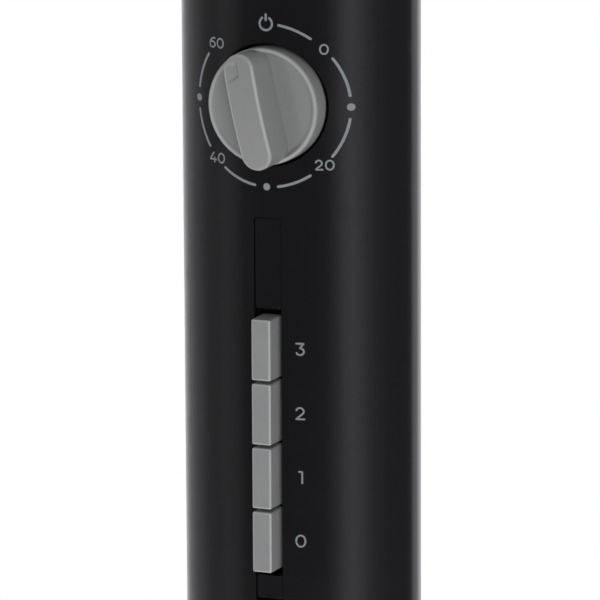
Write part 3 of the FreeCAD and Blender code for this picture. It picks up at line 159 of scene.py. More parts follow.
# %% Copy a construction part with shared corners, for smooth shading
def smooth_copy(node, name, sharp_degrees=28.0):
    """A part's mesh with doubled corners merged, smooth except at edges sharper than an angle."""
    mesh = frame["nodes"][node].data.copy()
    work = bmesh.new()
    work.from_mesh(mesh)
    bmesh.ops.remove_doubles(work, verts=work.verts, dist=0.002 * MM)
    work.to_mesh(mesh)
    work.free()
    mesh.name = name
    mesh.shade_smooth()
    mesh.set_sharp_from_angle(angle=math.radians(sharp_degrees))
    piece = bpy.data.objects.new(name, mesh)
    bpy.context.scene.collection.objects.link(piece)
    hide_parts(node)
    return piece


def body_of(node):
    """The moving body that carries a node."""
    return next(body for body, nodes in frame["record"]["behaviour"]["bodies"].items() if node in nodes)


def slot_of(node):
    """The record's material slot of a node."""
    return next(part["material_slot"] for part in frame["record"]["subparts"] if part["node"] == node)


def settle(piece, body, material):
    """Put a finished piece on its body, in its material."""
    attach(piece, body)
    piece.data.materials.clear()
    piece.data.materials.append(material)
    return piece


# %% [markdown]
# ## Tools for materials
# Colours are written as hex values, the way a paint chart gives them, and one function turns them linear. A second
# function adds any node with its settings and links, so a material reads as a short list of what it is made of.
# Patterns read object coordinates, which are metres here, so a scale is simply one over the size of the pattern.


# %% Colour and node helpers
def linear(hex_colour):
    """sRGB hex to linear light: a straight toe below 0.04045 and a power of 2.4 above it."""
    s = np.array([int(hex_colour[i:i + 2], 16) for i in (1, 3, 5)]) / 255.0
    light = np.where(s <= 0.04045, s / 12.92, ((s + 0.055) / 1.055) ** 2.4)
    return (*light.tolist(), 1.0)


def add(tree, kind, links=None, **settings):
    """Add a node; settings name its properties or inputs, and links give the output that feeds each input."""
    node = tree.nodes.new(kind)
    for key, value in settings.items():
        if hasattr(node, key):
            setattr(node, key, value)
        else:
            node.inputs[key.replace("_", " ")].default_value = value
    for key, output in (links or {}).items():
        tree.links.new(output, node.inputs[key])
    return node


def new_material(name, colour, roughness, metallic=0.0, **settings):
    """A material with one shader; returns the material, its tree and the shader."""
    material = bpy.data.materials.new(name)
    material.use_nodes = True
    tree = material.node_tree
    shader = tree.nodes["Principled BSDF"]
    shader.inputs["Base Color"].default_value = linear(colour)
    shader.inputs["Roughness"].default_value = roughness
    shader.inputs["Metallic"].default_value = metallic
    for key, value in settings.items():
        shader.inputs[key.replace("_", " ")].default_value = value
    return material, tree, shader


def grain(tree, shader, size_mm, depth_mm, detail=2.0):
    """A noise grain of a given size that stands up by a given depth."""
    where = add(tree, "ShaderNodeTexCoord")
    noise = add(tree, "ShaderNodeTexNoise", {"Vector": where.outputs["Object"]}, Scale=1.0 / (size_mm * MM),
                Detail=detail)
    bump = add(tree, "ShaderNodeBump", {"Height": noise.outputs["Fac"]}, Strength=1.0, Distance=depth_mm * MM)
    tree.links.new(bump.outputs["Normal"], shader.inputs["Normal"])
    return noise


def vary(tree, shader, socket, low, high, size_mm, detail=3.0):
    """Let a socket drift between two values over patches of a given size."""
    where = add(tree, "ShaderNodeTexCoord")
    noise = add(tree, "ShaderNodeTexNoise", {"Vector": where.outputs["Object"]}, Scale=1.0 / (size_mm * MM),
                Detail=detail)
    if isinstance(low, str):
        mix = add(tree, "ShaderNodeMix", {"Factor": noise.outputs["Fac"]}, data_type="RGBA")
        mix.inputs[6].default_value = linear(low)
        mix.inputs[7].default_value = linear(high)
        tree.links.new(mix.outputs[2], shader.inputs[socket])
        return
    spread = add(tree, "ShaderNodeMapRange", {"Value": noise.outputs["Fac"]}, From_Min=0.3, From_Max=0.7,
                 To_Min=low, To_Max=high)
    tree.links.new(spread.outputs["Result"], shader.inputs[socket])


# %% [markdown]
# ## Finishes
# **Gloss ABS.** The shells are ABS moulded against a polished steel tool. The plastic is black all through, so
# what the eye sees is almost only reflection: soft where the tool's polish ends, with the faint waviness that
# every moulded wall has.
#
# **Satin ABS.** The knob and keys are grey ABS from a spark-eroded tool: a grain of about a quarter of a
# millimetre that breaks reflections into a sheen.


# %% Plastics of the outside
def gloss_abs():
    """Polished black ABS: IOR 1.5, low roughness, a wave of a few micrometres over a centimetre."""
    material, tree, shader = new_material("moulded_gloss_abs_black", "#151517", 0.13, IOR=1.5)
    grain(tree, shader, 14.0, 0.006, detail=1.0)
    vary(tree, shader, "Roughness", 0.11, 0.16, 9.0)
    return material


def satin_abs_grey():
    """Grey ABS with a fine spark-eroded grain, and a painted highlight mixed in along its rounded edges."""
    material, tree, shader = new_material("moulded_satin_abs_grey", "#a7a8a7", 0.42, IOR=1.49)
    grain(tree, shader, 0.45, 0.006)
    where = add(tree, "ShaderNodeTexCoord")
    cloud = add(tree, "ShaderNodeTexNoise", {"Vector": where.outputs["Object"]}, Scale=1.0 / (12.0 * MM), Detail=3.0)
    body = add(tree, "ShaderNodeMix", {"Factor": cloud.outputs["Fac"]}, data_type="RGBA")
    body.inputs[6].default_value, body.inputs[7].default_value = linear("#929596"), linear("#9a9a98")
    # Painted highlight: a lighter grey mixed into the colour where the corner attribute marks a rounded edge.
    rub = add(tree, "ShaderNodeAttribute", attribute_name="rub")
    with_painted_highlight = add(tree, "ShaderNodeMix", {"Factor": rub.outputs["Fac"], 6: body.outputs[2]}, data_type="RGBA")
    with_painted_highlight.inputs[7].default_value = linear("#b9bcbd")
    tree.links.new(with_painted_highlight.outputs[2], shader.inputs["Base Color"])
    vary(tree, shader, "Roughness", 0.38, 0.46, 3.0)
    return material


def satin_black():
    """Black polypropylene with a fine moulded grain, for grilles, plates and liners."""
    material, tree, shader = new_material("moulded_polypropylene_black", "#141415", 0.42, IOR=1.49)
    grain(tree, shader, 0.5, 0.008)
    vary(tree, shader, "Roughness", 0.36, 0.5, 6.0)
    return material


def printed_ink():
    """Pad-printed grey ink: thin, matt, and slightly uneven in its cover."""
    material, tree, shader = new_material("pad_printed_ink_grey", "#8b9297", 0.5, IOR=1.45)
    vary(tree, shader, "Base Color", "#878e93", "#979da1", 0.8)
    grain(tree, shader, 0.2, 0.002)
    return material


# %% [markdown]
# **The inside.** Behind the grilles a light shows the impeller and a little of what holds it. These finishes are
# plain, but each is what the real piece is made of: nylon keeps a warm translucent white, zinc plate has a soft
# uneven shine, laminated iron shows its sheets, and windings show their turns.


# %% Plastics, rubber and metals of the inside
def natural_nylon():
    """Unfilled nylon: warm white with a little light carried under its surface."""
    material, tree, shader = new_material("moulded_nylon_natural", "#ddd8c9", 0.4, IOR=1.53, Subsurface_Weight=0.15,
                                          Subsurface_Scale=0.002)
    grain(tree, shader, 0.6, 0.008)
    vary(tree, shader, "Base Color", "#d6d0c0", "#e2dfd3", 10.0)
    return material


def impeller_plastic():
    """Grey glass-filled plastic: a dull face with fine flow marks."""
    material, tree, shader = new_material("glass_filled_polypropylene_grey", "#55585a", 0.5, IOR=1.49)
    grain(tree, shader, 0.3, 0.01, detail=4.0)
    vary(tree, shader, "Base Color", "#4d5052", "#5d6062", 8.0)
    return material


def black_rubber():
    """Nitrile rubber: near black, matt, with a dusty bloom."""
    material, tree, shader = new_material("moulded_rubber_black", "#1a1a1a", 0.75, IOR=1.52)
    grain(tree, shader, 0.7, 0.015)
    vary(tree, shader, "Base Color", "#161616", "#232322", 5.0)
    return material


def bright_steel():
    """Drawn steel wire and turned screws: bright, with fine lines along the draw."""
    material, tree, shader = new_material("drawn_steel_bright", "#b9babc", 0.28, metallic=1.0)
    grain(tree, shader, 0.15, 0.003)
    vary(tree, shader, "Roughness", 0.22, 0.38, 1.5)
    return material


def zinc_plate():
    """Zinc-plated sheet: a bluish grey metal whose shine is uneven."""
    material, tree, shader = new_material("zinc_plated_sheet", "#b4b8b9", 0.36, metallic=1.0)
    vary(tree, shader, "Base Color", "#a9aeb0", "#c0c2c1", 7.0)
    vary(tree, shader, "Roughness", 0.28, 0.48, 2.5)
    return material


def stacked(name, low, high, pitch_mm, depth_mm, metallic, roughness):
    """Bands along Z of a given pitch, as laminations or turns of wire show at their edges."""
    material, tree, shader = new_material(name, low, roughness, metallic=metallic)
    where = add(tree, "ShaderNodeTexCoord")
    wave = add(tree, "ShaderNodeTexWave", {"Vector": where.outputs["Object"]}, wave_type="BANDS",
               bands_direction="Z", Scale=math.pi / 10.0 / (pitch_mm * MM), Distortion=0.0)
    ramp = add(tree, "ShaderNodeValToRGB", {"Fac": wave.outputs["Fac"]})
    ramp.color_ramp.elements[0].color = linear(low)
    ramp.color_ramp.elements[1].color = linear(high)
    tree.links.new(ramp.outputs["Color"], shader.inputs["Base Color"])
    bump = add(tree, "ShaderNodeBump", {"Height": wave.outputs["Fac"]}, Strength=1.0, Distance=depth_mm * MM)
    tree.links.new(bump.outputs["Normal"], shader.inputs["Normal"])
    return material


def bronze():
    """Sintered bronze and tinned brass: a warm metal with open pores."""
    material, tree, shader = new_material("sintered_bronze", "#b8955a", 0.4, metallic=1.0)
    grain(tree, shader, 0.2, 0.01, detail=4.0)
    vary(tree, shader, "Base Color", "#a88750", "#c4a26a", 3.0)
    return material


# %% Give each record slot its finish
finish = {
    "black_gloss": gloss_abs(),
    "black_satin": satin_black(),
    "grey_plastic": satin_abs_grey(),
    "white_nylon": natural_nylon(),
    "grey_impeller": impeller_plastic(),
    "rubber": black_rubber(),
    "steel": bright_steel(),
    "zinc_steel": zinc_plate(),
    "laminations": stacked("laminated_iron", "#4c4a48", "#6f6c69", 0.5, 0.02, 0.8, 0.5),
    "copper": stacked("enamelled_copper_turns", "#7d3f1c", "#c07c4a", 0.6, 0.1, 0.7, 0.35),
    "brass": bronze(),
    "wire_jacket": satin_black(),
    "capacitor_case": satin_black(),
}
INK = printed_ink()
for node, part in frame["nodes"].items():
    part.data.materials.clear()
    part.data.materials.append(finish[slot_of(node)])

# %% [markdown]
# ## Shells
# The shells keep the construction's shape. Their oval outside is one smooth curve, and on polished black the
# smallest fault in its shading shows as a kink in the reflection. So every corner of a face that lies on the oval
# gets the exact normal of the oval instead of an average of the triangles round it.


# %% Shade the ovals exactly
def oval_normals(piece, half_width, depth_front, depth_rear, tolerance=0.4 * MM):
    """Corner normals along the oval's gradient, x over width squared and y over depth squared, on its outside."""
    mesh = piece.data
    count = len(mesh.loops)
    corner_vertex = np.empty(count, dtype=np.int32)
    mesh.loops.foreach_get("vertex_index", corner_vertex)
    points = np.empty(len(mesh.vertices) * 3)
    mesh.vertices.foreach_get("co", points)
    points = points.reshape(-1, 3)[corner_vertex]
    normals = np.empty(count * 3, dtype=np.float32)
    mesh.corner_normals.foreach_get("vector", normals)
    normals = normals.reshape(-1, 3).astype(float)
    face_normals = np.empty(len(mesh.polygons) * 3, dtype=np.float32)
    mesh.polygons.foreach_get("normal", face_normals)
    totals = np.empty(len(mesh.polygons), dtype=np.int32)
    mesh.polygons.foreach_get("loop_total", totals)
    face_normals = np.repeat(face_normals.reshape(-1, 3), totals, axis=0)
    depth = np.where(points[:, 1] < 0.0, depth_front, depth_rear)
    reach = np.sqrt((points[:, 0] / half_width) ** 2 + (points[:, 1] / depth) ** 2)
    exact = np.column_stack([points[:, 0] / half_width ** 2, points[:, 1] / depth ** 2, np.zeros(count)])
    exact /= np.maximum(np.linalg.norm(exact, axis=1, keepdims=True), 1e-9)
    outside = np.abs(reach - 1.0) * np.minimum(half_width, depth) < tolerance
    along = np.einsum("ij,ij->i", exact, face_normals) > 0.97
    level = np.abs(face_normals[:, 2]) < 0.02
    use = outside & along & level
    normals[use] = exact[use]
    mesh.normals_split_custom_set(normals.tolist())
    print(piece.name, "corners on the oval:", int(use.sum()), "of", count)


front_shell = smooth_copy("front_shell", "front_shell_skin")
oval_normals(front_shell, HALF_WIDTH, FRONT_DEPTH, FRONT_DEPTH)
rear_shell = smooth_copy("rear_shell", "rear_shell_skin")
oval_normals(rear_shell, rear_high[0], rear_high[1], rear_high[1])
STRIP_SUNK = 0.6 * MM
key_strip = smooth_copy("key_strip", "key_strip_skin")
oval_normals(key_strip, HALF_WIDTH - STRIP_SUNK, FRONT_DEPTH - STRIP_SUNK, FRONT_DEPTH)
top_cap = smooth_copy("top_cap", "top_cap_skin", sharp_degrees=40.0)
for node, piece in (("front_shell", front_shell), ("rear_shell", rear_shell), ("key_strip", key_strip),
                    ("top_cap", top_cap)):
    settle(piece, body_of(node), finish[slot_of(node)])

# %% Smooth the other parts that show
SHOWN = ["base_shell", "handle_cup", "outlet_grille", "inlet_grille", "rubber_feet", "cord_gland", "impeller",
         "base_plate", "shell_screws", "column_foot", "scroll_wall", "timer_screws", "slip_ring"]
for node in SHOWN:
    settle(smooth_copy(node, node + "_skin"), body_of(node), finish[slot_of(node)])

# %% [markdown]
# ## Rounded pieces drawn as rings
# A key and the knob's grip are the same kind of shape: a closed outline that is carried outwards along Y, draws in
# a little with the mould's draft, rounds over at the front and closes on a flat face. So one function makes both:
# it stacks rings, each an outline with its own inset and its own y.


# %% Stack outlines into a rounded bar
def quarter_round(radius, steps):
    """Inset and rise along a quarter circle: radius times one less the cosine, and radius times the sine."""
    turn = np.linspace(0.0, math.pi / 2, steps)
    return radius * (1.0 - np.cos(turn)), radius * np.sin(turn)


def rounded_outline(half_x, half_z, corner, per_corner=14, per_side=10):
    """Rectangle with round corners: four quarter circles joined by straight runs, as points in x and z."""
    corner = min(corner, half_x, half_z)
    turn = np.linspace(0.0, math.pi / 2, per_corner)
    points = []
    for quarter, (sx, sz) in enumerate(((1, 1), (-1, 1), (-1, -1), (1, -1))):
        angle = turn + quarter * math.pi / 2
        centre = np.array([sx * (half_x - corner), sz * (half_z - corner)])
        arc = centre + corner * np.column_stack([np.cos(angle), np.sin(angle)])
        points.append(arc)
    path = []
    for quarter in range(4):
        path.append(points[quarter])
        start, end = points[quarter][-1], points[(quarter + 1) % 4][0]
        share = np.linspace(0.0, 1.0, per_side + 2)[1:-1, None]
        path.append(start + (end - start) * share)
    return np.vstack(path)


def stack_rings(stations, corner, per_side):
    """Rings of one outline: each station gives half width, half height and y, and the corner shrinks with them."""
    widest = max(half_x for half_x, _, _ in stations)
    rings = []
    for half_x, half_z, y in stations:
        round_here = max(corner - (widest - half_x), 1e-6)
        ring = rounded_outline(max(half_x, 1e-6), max(half_z, 1e-6), round_here, per_side=per_side)
        rings.append(np.column_stack([ring[:, 0], np.full(len(ring), y), ring[:, 1]]))
    return np.array(rings)


def rounded_bar(foot, front, edge_round, corner, side_steps=8, round_steps=9, face_steps=9, per_side=10):
    """Rings from a foot (half x, half z, y) to a front of its own size, and how much of the edge is in each ring."""
    share = np.linspace(0.0, 1.0, side_steps)[:, None]
    side_end = np.array([front[0], front[1], front[2] + edge_round])
    sides = np.array(foot) + (side_end - np.array(foot)) * share
    inset, rise = quarter_round(edge_round, round_steps)
    edge = np.column_stack([front[0] - inset, front[1] - inset, side_end[2] - rise])[1:]
    face_inset = np.linspace(edge_round, front[0], face_steps)[1:]
    face = np.column_stack([front[0] - face_inset, front[1] - face_inset, np.full(len(face_inset), front[2])])
    on_edge = np.concatenate([np.zeros(side_steps), np.sin(np.linspace(0.0, math.pi, round_steps))[1:],
                              np.zeros(face_steps - 1)])
    return stack_rings(np.vstack([sides, edge, face]).tolist(), corner, per_side), on_edge


def store_painted_highlight(piece, grid, rub):
    """Keep each corner's painted edge highlight, 0 to 1, as an attribute; merging doubles keeps the attribute with
    it.
    """
    layer = piece.data.attributes.new("rub", "FLOAT", "POINT")
    layer.data.foreach_set("value", np.broadcast_to(rub, grid).astype(np.float32).ravel())


# %% [markdown]
# ## The piano keys
# Each key is a narrow grey cap that stands out of the panel by about 7 mm. Its front edges have a radius you can
# feel, and its face is very slightly crowned so that a finger finds the middle.

# %% Make the keys
KEY_ROUND = 0.85 * MM
KEY_CORNER = 1.0 * MM
KEY_HALF_WIDTH = 4.05 * MM
KEY_DRAFT = 0.3 * MM
KEY_CROWN = 0.08 * MM
KEY_ROOT = 4.5 * MM


def key_cap(node):
    """A drafted bar from behind the panel to the key's front, its face raised by a crown of a squared width."""
    low, high = (np.array(corner, dtype=float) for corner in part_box(node))
    centre_z, half_z = (low[2] + high[2]) / 2, (high[2] - low[2]) / 2
    foot = (KEY_HALF_WIDTH + KEY_DRAFT, half_z, -FRONT_DEPTH + KEY_ROOT)
    front = (KEY_HALF_WIDTH, half_z - KEY_DRAFT * 0.7, low[1])
    rings, on_edge = rounded_bar(foot, front, KEY_ROUND, KEY_CORNER)
    face = rings[..., 1] < low[1] + KEY_ROUND * 0.3
    rings[..., 1] += np.where(face, KEY_CROWN * (rings[..., 0] / KEY_HALF_WIDTH) ** 2, 0.0)
    rings[..., 2] += centre_z
    piece = new_piece(node + "_cap", rings.reshape(-1, 3), grid_faces(*rings.shape[:2], True))
    # The painted highlight follows the rounding of the key's front edges.
    store_painted_highlight(piece, rings.shape[:2], on_edge[:, None])
    return tidy_normals(piece)


for node in ALL_KEYS:
    cap = key_cap(node)
    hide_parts(node)
    settle(cap, body_of(node), finish["grey_plastic"])

# %% [markdown]
# ## The timer knob
# The knob is a shallow drum with a tall grip bar across it. Two scoops, one each side of the bar, leave room for
# the fingers: they are deepest along the bar's foot and rise to a thin rolled rim. The drum is a profile turned
# about the knob's axis whose face is pressed in by the scoops. The bar is stacked from rings, like a key. A flat
# wedge is cut from the left half of its upper end, and that is what points at the scale.

# %% Turn the drum and press in its scoops
KNOB_RADIUS = 23.25 * MM
RIM_PLANE = -FRONT_DEPTH - 4.05 * MM
SKIRT_BACK = -FRONT_DEPTH + 5.8 * MM
RIM_ROUND = 1.0 * MM
KNOB_LEAN = math.radians(-12.6)
BAR_FOOT = 6.6 * MM
SCOOP_DEEP = 1.8 * MM
SCOOP_SHALLOW = 0.5 * MM
SCOOP_REACH = 7.5 * MM
RIM_SLOPE = 2.2 * MM


def ease(t):
    """Smooth step: three t squared less two t cubed, between 0 and 1."""
    t = np.clip(t, 0.0, 1.0)
    return t * t * (3.0 - 2.0 * t)


def lean(points):
    """Turn points about the knob's axis by its resting lean and carry them to the knob's centre height."""
    x, z = points[..., 0].copy(), points[..., 2].copy()
    points[..., 0] = x * math.cos(KNOB_LEAN) + z * math.sin(KNOB_LEAN)
    points[..., 2] = z * math.cos(KNOB_LEAN) - x * math.sin(KNOB_LEAN) + KNOB[2]
    return points


def knob_drum():
    """Skirt, rolled rim and face as one profile turned about Y; scoop depth falls off with distance from the bar."""
    skirt_y = np.linspace(SKIRT_BACK, RIM_PLANE + RIM_ROUND, 6)
    inset, rise = quarter_round(RIM_ROUND, 9)
    face_r = np.linspace(KNOB_RADIUS - RIM_ROUND, 0.0, 60)[1:]
    wall = 2.0 * MM
    radius = np.concatenate([[KNOB_RADIUS - wall], np.full(6, KNOB_RADIUS), KNOB_RADIUS - inset[1:], face_r])
    y = np.concatenate([[SKIRT_BACK], skirt_y, RIM_PLANE + RIM_ROUND - rise[1:], np.full(len(face_r), RIM_PLANE)])
    turn = np.linspace(0.0, 2.0 * math.pi, 240, endpoint=False)
    r, t = np.meshgrid(radius, turn, indexing="ij")
    x, z = r * np.sin(t), r * np.cos(t)
    inside = ease((KNOB_RADIUS - RIM_ROUND - r) / RIM_SLOPE)
    rise = np.clip((np.abs(x) - BAR_FOOT) / SCOOP_REACH, 0.0, 1.0)
    rise = 0.6 * rise + 0.4 * ease(rise)
    scoop = SCOOP_SHALLOW + (SCOOP_DEEP - SCOOP_SHALLOW) * (1.0 - rise)
    depth = np.broadcast_to(y[:, None], r.shape) + inside * scoop
    points = lean(np.stack([x, depth, z], axis=-1))
    piece = new_piece("timer_knob_drum", points.reshape(-1, 3), grid_faces(*r.shape, True))
    # A painted highlight in a narrow band where the rolled rim meets the face.
    store_painted_highlight(piece, r.shape, np.exp(-((r - KNOB_RADIUS + RIM_ROUND) / (0.6 * MM)) ** 2)
              * (y[:, None] < RIM_PLANE + 0.6 * MM))
    return tidy_normals(piece)


# %% Stack the grip bar and cut its pointer
BAR_TOP = RIM_PLANE - 16.2 * MM
BAR_CROWN = 1.9 * MM
BAR_HALF_WIDTH = 6.3 * MM
BAR_REACH = 23.15 * MM
BAR_EDGE = 1.2 * MM
POINTER_TOP = BAR_REACH - 3.0 * MM
POINTER_BOTTOM = BAR_REACH - 9.4 * MM
POINTER_DEEP = 1.1 * MM


def grip_bar():
    """A bar with round ends whose front falls by a crown of z squared; the pointer's slanting plane cuts into it."""
    foot = (BAR_FOOT, KNOB_RADIUS - 0.5 * MM, RIM_PLANE + SCOOP_DEEP + 0.6 * MM)
    front = (BAR_HALF_WIDTH, BAR_REACH, BAR_TOP)
    rings, on_edge = rounded_bar(foot, front, BAR_EDGE, BAR_FOOT, 14, 10, 18, 110)
    x, z = rings[..., 0], rings[..., 2]
    fall = BAR_CROWN * (z / BAR_REACH) ** 2
    y = rings[..., 1] + fall * (foot[2] - rings[..., 1]) / (foot[2] - BAR_TOP)
    lower_end = POINTER_BOTTOM + 0.35 * (x + 1.0 * MM)
    entry = ease((z - lower_end) / (1.0 * MM)) * ease((POINTER_TOP - z) / (0.8 * MM))
    plane = BAR_TOP + fall + entry * POINTER_DEEP * np.clip(1.0 + x / BAR_HALF_WIDTH, 0.0, 1.0)
    # Painted highlight along the bar's rounded front edges, weaker towards the bar's ends.
    rub = on_edge[:, None] * (1.0 - 0.6 * ease((np.abs(z) - 15.0 * MM) / (6.0 * MM)))
    rings[..., 1] = np.where(x < -0.01 * MM, np.maximum(y, plane), y)
    points = lean(rings)
    piece = new_piece("timer_knob_grip", points.reshape(-1, 3), grid_faces(*rings.shape[:2], True))
    store_painted_highlight(piece, rings.shape[:2], rub)
    tidy_normals(piece)
    piece.data.set_sharp_from_angle(angle=math.radians(38.0))
    return piece


drum, grip = knob_drum(), grip_bar()
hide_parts("timer_knob")
for piece in (drum, grip):
    settle(piece, "timer", finish["grey_plastic"])

# %% [markdown]
# ## The printed scale
# The ring of arcs, dots and minutes round the knob and the speed numbers beside the keys are pad printed: the pad
# presses flat artwork straight onto the curved shell, so widths seen from the front stay true. Each mark is a thin
# ribbon of ink. Its middle line is drawn flat in millimetres and laid onto the oval, a hair in front of it.

# %% Ink ribbons and dots
INK_PROUD = 0.04 * MM
RING_RADIUS = 32.4
LINE_WIDTH = 1.05
DIGIT_STROKE = 0.72
DOT_RADIUS = 1.45


def on_shell(flat):
    """Flat artwork points, in mm right of and above the middle line, laid onto the front of the oval."""
    x = flat[..., 0] * MM
    return np.stack([x, front_y(x) - INK_PROUD, flat[..., 1] * MM], axis=-1)


def resample(path, step=0.12):
    """Points at even steps of arc length along a path."""
    path = np.asarray(path, dtype=float)
    length = np.concatenate([[0.0], np.cumsum(np.linalg.norm(np.diff(path, axis=0), axis=1))])
    even = np.linspace(0.0, length[-1], max(int(length[-1] / step), 6))
    return np.column_stack([np.interp(even, length, path[:, k]) for k in (0, 1)]), length[-1]


def ribbon(path, width, closed=False):
    """A strip of constant width along a path; its ends are half circles unless it is closed."""
    middle, length = resample(path)
    ahead = np.gradient(middle, axis=0)
    if closed:
        ahead[0] = ahead[-1] = middle[1] - middle[-2]
    ahead /= np.linalg.norm(ahead, axis=1, keepdims=True)
    half = np.full(len(middle), width / 2)
    if not closed:
        turn = np.linspace(0.0, math.pi / 2, 7)[:-1]
        reach, narrow = width / 2 * np.cos(turn), width / 2 * np.sin(turn)
        before = middle[0] - ahead[0] * reach[:, None]
        after = middle[-1] + ahead[-1] * reach[::-1, None]
        half = np.concatenate([narrow, half, narrow[::-1]])
        middle = np.vstack([before, middle, after])
        ahead = np.vstack([np.repeat(ahead[:1], len(turn), axis=0), ahead, np.repeat(ahead[-1:], len(turn), axis=0)])
    aside = np.column_stack([ahead[:, 1], -ahead[:, 0]])
    across = np.linspace(-1.0, 1.0, 5)
    return middle[:, None, :] + aside[:, None, :] * (half[:, None] * across)[..., None]


def dot(radius):
    """A disc as rings of points from its middle outwards."""
    r, t = np.meshgrid(np.linspace(0.02, radius, 6), np.linspace(0.0, 2 * math.pi, 40), indexing="ij")
    return np.stack([r * np.sin(t), r * np.cos(t)], axis=-1)


def arc(centre, rx, rz, start, end, count=40):
    """Points on an oval arc between two angles, in degrees clockwise from the top."""
    turn = np.radians(np.linspace(start, end, count))
    return np.column_stack([centre[0] + rx * np.sin(turn), centre[1] + rz * np.cos(turn)])


# %% [markdown]
# The numbers are drawn with the same ribbon: each digit is one or two strokes in a box one unit high, round ended,
# like the lettering on a dial. They are plain numbers and name nobody.

# %% Strokes of the digits
DIGITS = {
    "0": [arc((0.40, 0.5), 0.40, 0.5, 0, 360, 80)],
    "1": [np.array([(0.02, 1.0), (0.30, 1.0), (0.30, 0.0)])],
    "2": [np.vstack([arc((0.37, 0.68), 0.32, 0.32, -75, 118), [(0.04, 0.0), (0.76, 0.0)]])],
    "3": [np.vstack([[(0.04, 1.0), (0.68, 1.0), (0.34, 0.60)], arc((0.36, 0.30), 0.33, 0.30, 0, 245)])],
    "4": [np.array([(0.50, 1.0), (0.0, 0.26), (0.86, 0.26)]), np.array([(0.62, 0.48), (0.62, 0.0)])],
    "6": [arc((0.40, 0.31), 0.36, 0.31, 0, 360, 70), arc((0.62, 0.33), 0.58, 0.67, -92, 12)],
}
ADVANCE = {"0": 0.80, "1": 0.30, "2": 0.78, "3": 0.70, "4": 0.86, "6": 0.78}
DIGIT_GAP = 0.30


def number(text, height, centre, stroke):
    """Ribbons of a number whose strokes fill a height, centred on a point."""
    scale = height - stroke
    widths = [ADVANCE[digit] for digit in text]
    total = sum(widths) + DIGIT_GAP * (len(text) - 1)
    at = -total / 2
    grids = []
    for digit, wide in zip(text, widths):
        for stroke_path in DIGITS[digit]:
            shifted = (stroke_path + np.array([at, -0.5])) * scale + np.array(centre)
            grids.append(ribbon(shifted, stroke, closed=bool(np.allclose(stroke_path[0], stroke_path[-1]))))
        at += wide + DIGIT_GAP
    return grids


def print_marks(name, grids):
    """One piece of ink from several ribbons and dots."""
    vertices, faces, start = [], [], 0
    for grid in grids:
        rows, columns = grid.shape[:2]
        vertices.append(on_shell(grid).reshape(-1, 3))
        faces.append(grid_faces(rows, columns, False) + start)
        start += rows * columns
    piece = new_piece(name, np.vstack(vertices), np.vstack(faces))
    mesh = piece.data
    first = np.empty(len(mesh.polygons) * 3, dtype=np.float32)
    mesh.polygons.foreach_get("normal", first)
    if first.reshape(-1, 3)[:, 1].mean() > 0:
        mesh.flip_normals()
    return settle(piece, "column", INK)


# %% Print the ring, the minutes and the speed numbers
knob_mm = KNOB[2] / MM
ARCS = [(9.5, 33.5), (53.5, 82), (98.5, 127), (147, 171.5), (189, 215.5), (235, 262), (278, 304)]
DOT_ANGLES = (90, 180, 270)
MINUTES = {"0": 45, "20": 135, "40": 225, "60": 315}


def around(angle, radius=RING_RADIUS):
    """A point on the scale's circle, by its angle clockwise from the top."""
    return np.array([radius * math.sin(math.radians(angle)), knob_mm + radius * math.cos(math.radians(angle))])


ring = [ribbon(arc((0.0, knob_mm), RING_RADIUS, RING_RADIUS, *span), LINE_WIDTH) for span in ARCS]
ring += [dot(DOT_RADIUS) + around(angle) for angle in DOT_ANGLES]
standby = around(0)
ring.append(ribbon(arc(standby, 2.62, 2.62, 34, 326), 0.92))
ring.append(ribbon(standby + np.array([(0.0, 3.6), (0.0, 1.35)]), 0.92))
print_marks("timer_ring_print", ring)
minutes = [grid for text, angle in MINUTES.items() for grid in number(text, 4.3, around(angle), 0.66)]
print_marks("timer_minutes_print", minutes)
speeds = []
for node in SPEED_KEYS:
    key_low, key_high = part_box(node)
    middle = (key_low[2] + key_high[2]) / 2 / MM
    speeds += number(node[-1], 5.3, (13.24, middle - 0.15), 0.70)
print_marks("speed_numbers_print", speeds)

# %% [markdown]
# ## Light, floor and air
# Polished black shows nothing but what it reflects, so the light is planned as what surrounds the column. Two soft
# vertical glows stand to its front right and front left, it is dim straight ahead, and it is white behind. That is
# a studio with two softboxes and a white backdrop, written as a brightness that changes with direction. Matt grey
# plastic needs more light than that, so two large soft lights add it without showing in the polish.

# %% Brightness by direction
AIR = [(-180, 1.0), (-135, 0.86), (-110, 0.58), (-92, 0.44), (-76, 0.28), (-67, 0.26), (-57, 0.36), (-49, 0.30),
       (-40, 0.12), (-20, 0.085), (10, 0.085), (19, 0.12), (27, 0.34), (35, 0.70), (42, 0.86), (50, 0.66), (60, 0.40),
       (72, 0.24), (90, 0.16), (122, 0.13), (133, 0.20), (141, 0.80), (180, 0.95)]
world = bpy.data.worlds.new("studio_air")
bpy.context.scene.world = world
world.use_nodes = True
tree = world.node_tree
tree.nodes.clear()
where = add(tree, "ShaderNodeTexCoord")
axes = add(tree, "ShaderNodeSeparateXYZ", {"Vector": where.outputs["Generated"]})
toward = add(tree, "ShaderNodeMath", {0: axes.outputs["Y"]}, operation="MULTIPLY")
toward.inputs[1].default_value = -1.0
bearing = add(tree, "ShaderNodeMath", {0: axes.outputs["X"], 1: toward.outputs[0]}, operation="ARCTAN2")
share = add(tree, "ShaderNodeMapRange", {"Value": bearing.outputs[0]}, From_Min=-math.pi, From_Max=math.pi)
ramp = add(tree, "ShaderNodeValToRGB", {"Fac": share.outputs["Result"]})
ramp.color_ramp.interpolation = "EASE"
stops = ramp.color_ramp.elements
for angle, brightness in AIR:
    first, last = angle == AIR[0][0], angle == AIR[-1][0]
    stop = stops[0] if first else stops[-1] if last else stops.new(angle / 360.0 + 0.5)
    stop.color = (brightness, brightness * 0.985, brightness * 1.03, 1.0)
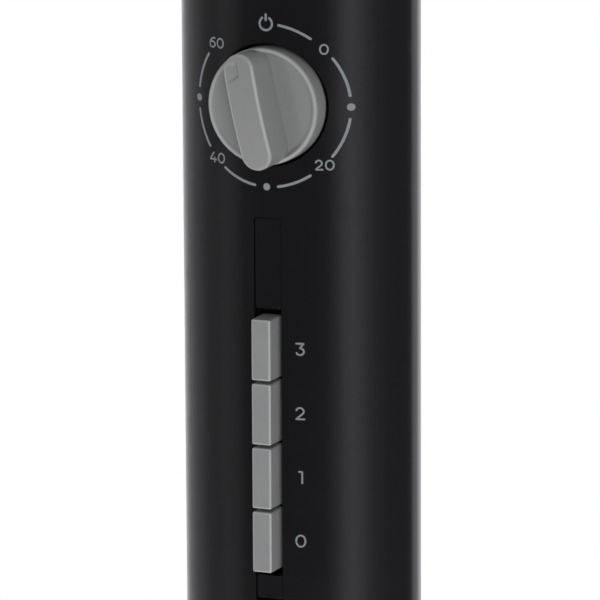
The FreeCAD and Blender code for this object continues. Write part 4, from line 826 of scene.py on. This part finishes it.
height = add(tree, "ShaderNodeMapRange", {"Value": axes.outputs["Z"]}, From_Min=0.1, From_Max=0.9, To_Min=1.0,
             To_Max=0.45)
surround = add(tree, "ShaderNodeBackground", {"Color": ramp.outputs["Color"], "Strength": height.outputs["Result"]})
backdrop = add(tree, "ShaderNodeBackground", Color=(1.0, 1.0, 1.0, 1.0), Strength=1.0)
ray = add(tree, "ShaderNodeLightPath")
mix = add(tree, "ShaderNodeMixShader", {0: ray.outputs["Is Camera Ray"], 1: surround.outputs[0],
                                        2: backdrop.outputs[0]})
add(tree, "ShaderNodeOutputWorld", {"Surface": mix.outputs[0]})


# %% Soft lights that only matt surfaces see
def soft_light(name, place, aim, size, watts):
    """A square area light that faces a point and stays out of reflections and of the camera's sight."""
    lamp = bpy.data.lights.new(name, "AREA")
    lamp.size = size
    lamp.energy = watts
    holder = bpy.data.objects.new(name, lamp)
    back = np.array(place, dtype=float) - np.array(aim, dtype=float)
    back /= np.linalg.norm(back)
    side = np.cross([0.0, 0.0, 1.0], back)
    side /= np.linalg.norm(side)
    turn = Matrix(np.column_stack([side, np.cross(back, side), back]).tolist()).to_4x4()
    turn.translation = place
    holder.matrix_world = turn
    holder.visible_camera = False
    holder.visible_glossy = False
    bpy.context.scene.collection.objects.link(holder)
    return holder


panel_middle = (0.0, -FRONT_DEPTH, KNOB[2] - 0.05)
soft_light("front_soft_light", (1.05, -2.0, 0.95), panel_middle, 1.1, 19.2)
soft_light("left_fill_light", (-1.6, -1.6, 1.1), panel_middle, 1.4, 5.0)
soft_light("floor_soft_light", (0.3, 0.6, 2.6), (0.0, 0.0, 0.0), 1.6, 16.0)

# %% A pale floor
FLOOR_RADIUS = 1.7
turn = np.linspace(0.0, 2.0 * math.pi, 96)
r, t = np.meshgrid(np.linspace(0.001, FLOOR_RADIUS, 8), turn, indexing="ij")
disc = np.stack([r * np.sin(t), r * np.cos(t), np.zeros_like(r)], axis=-1)
floor = tidy_normals(new_piece("floor", disc.reshape(-1, 3), grid_faces(*r.shape, False), smooth=False))
if floor.data.polygons[0].normal.z < 0:
    floor.data.flip_normals()
floor_paint, floor_tree, floor_shader = new_material("painted_floor_pale", "#f4f4f3", 0.6)
floor_shader.inputs["Emission Color"].default_value = (1.0, 1.0, 1.0, 1.0)
floor_shader.inputs["Emission Strength"].default_value = 0.25
floor.data.materials.append(floor_paint)
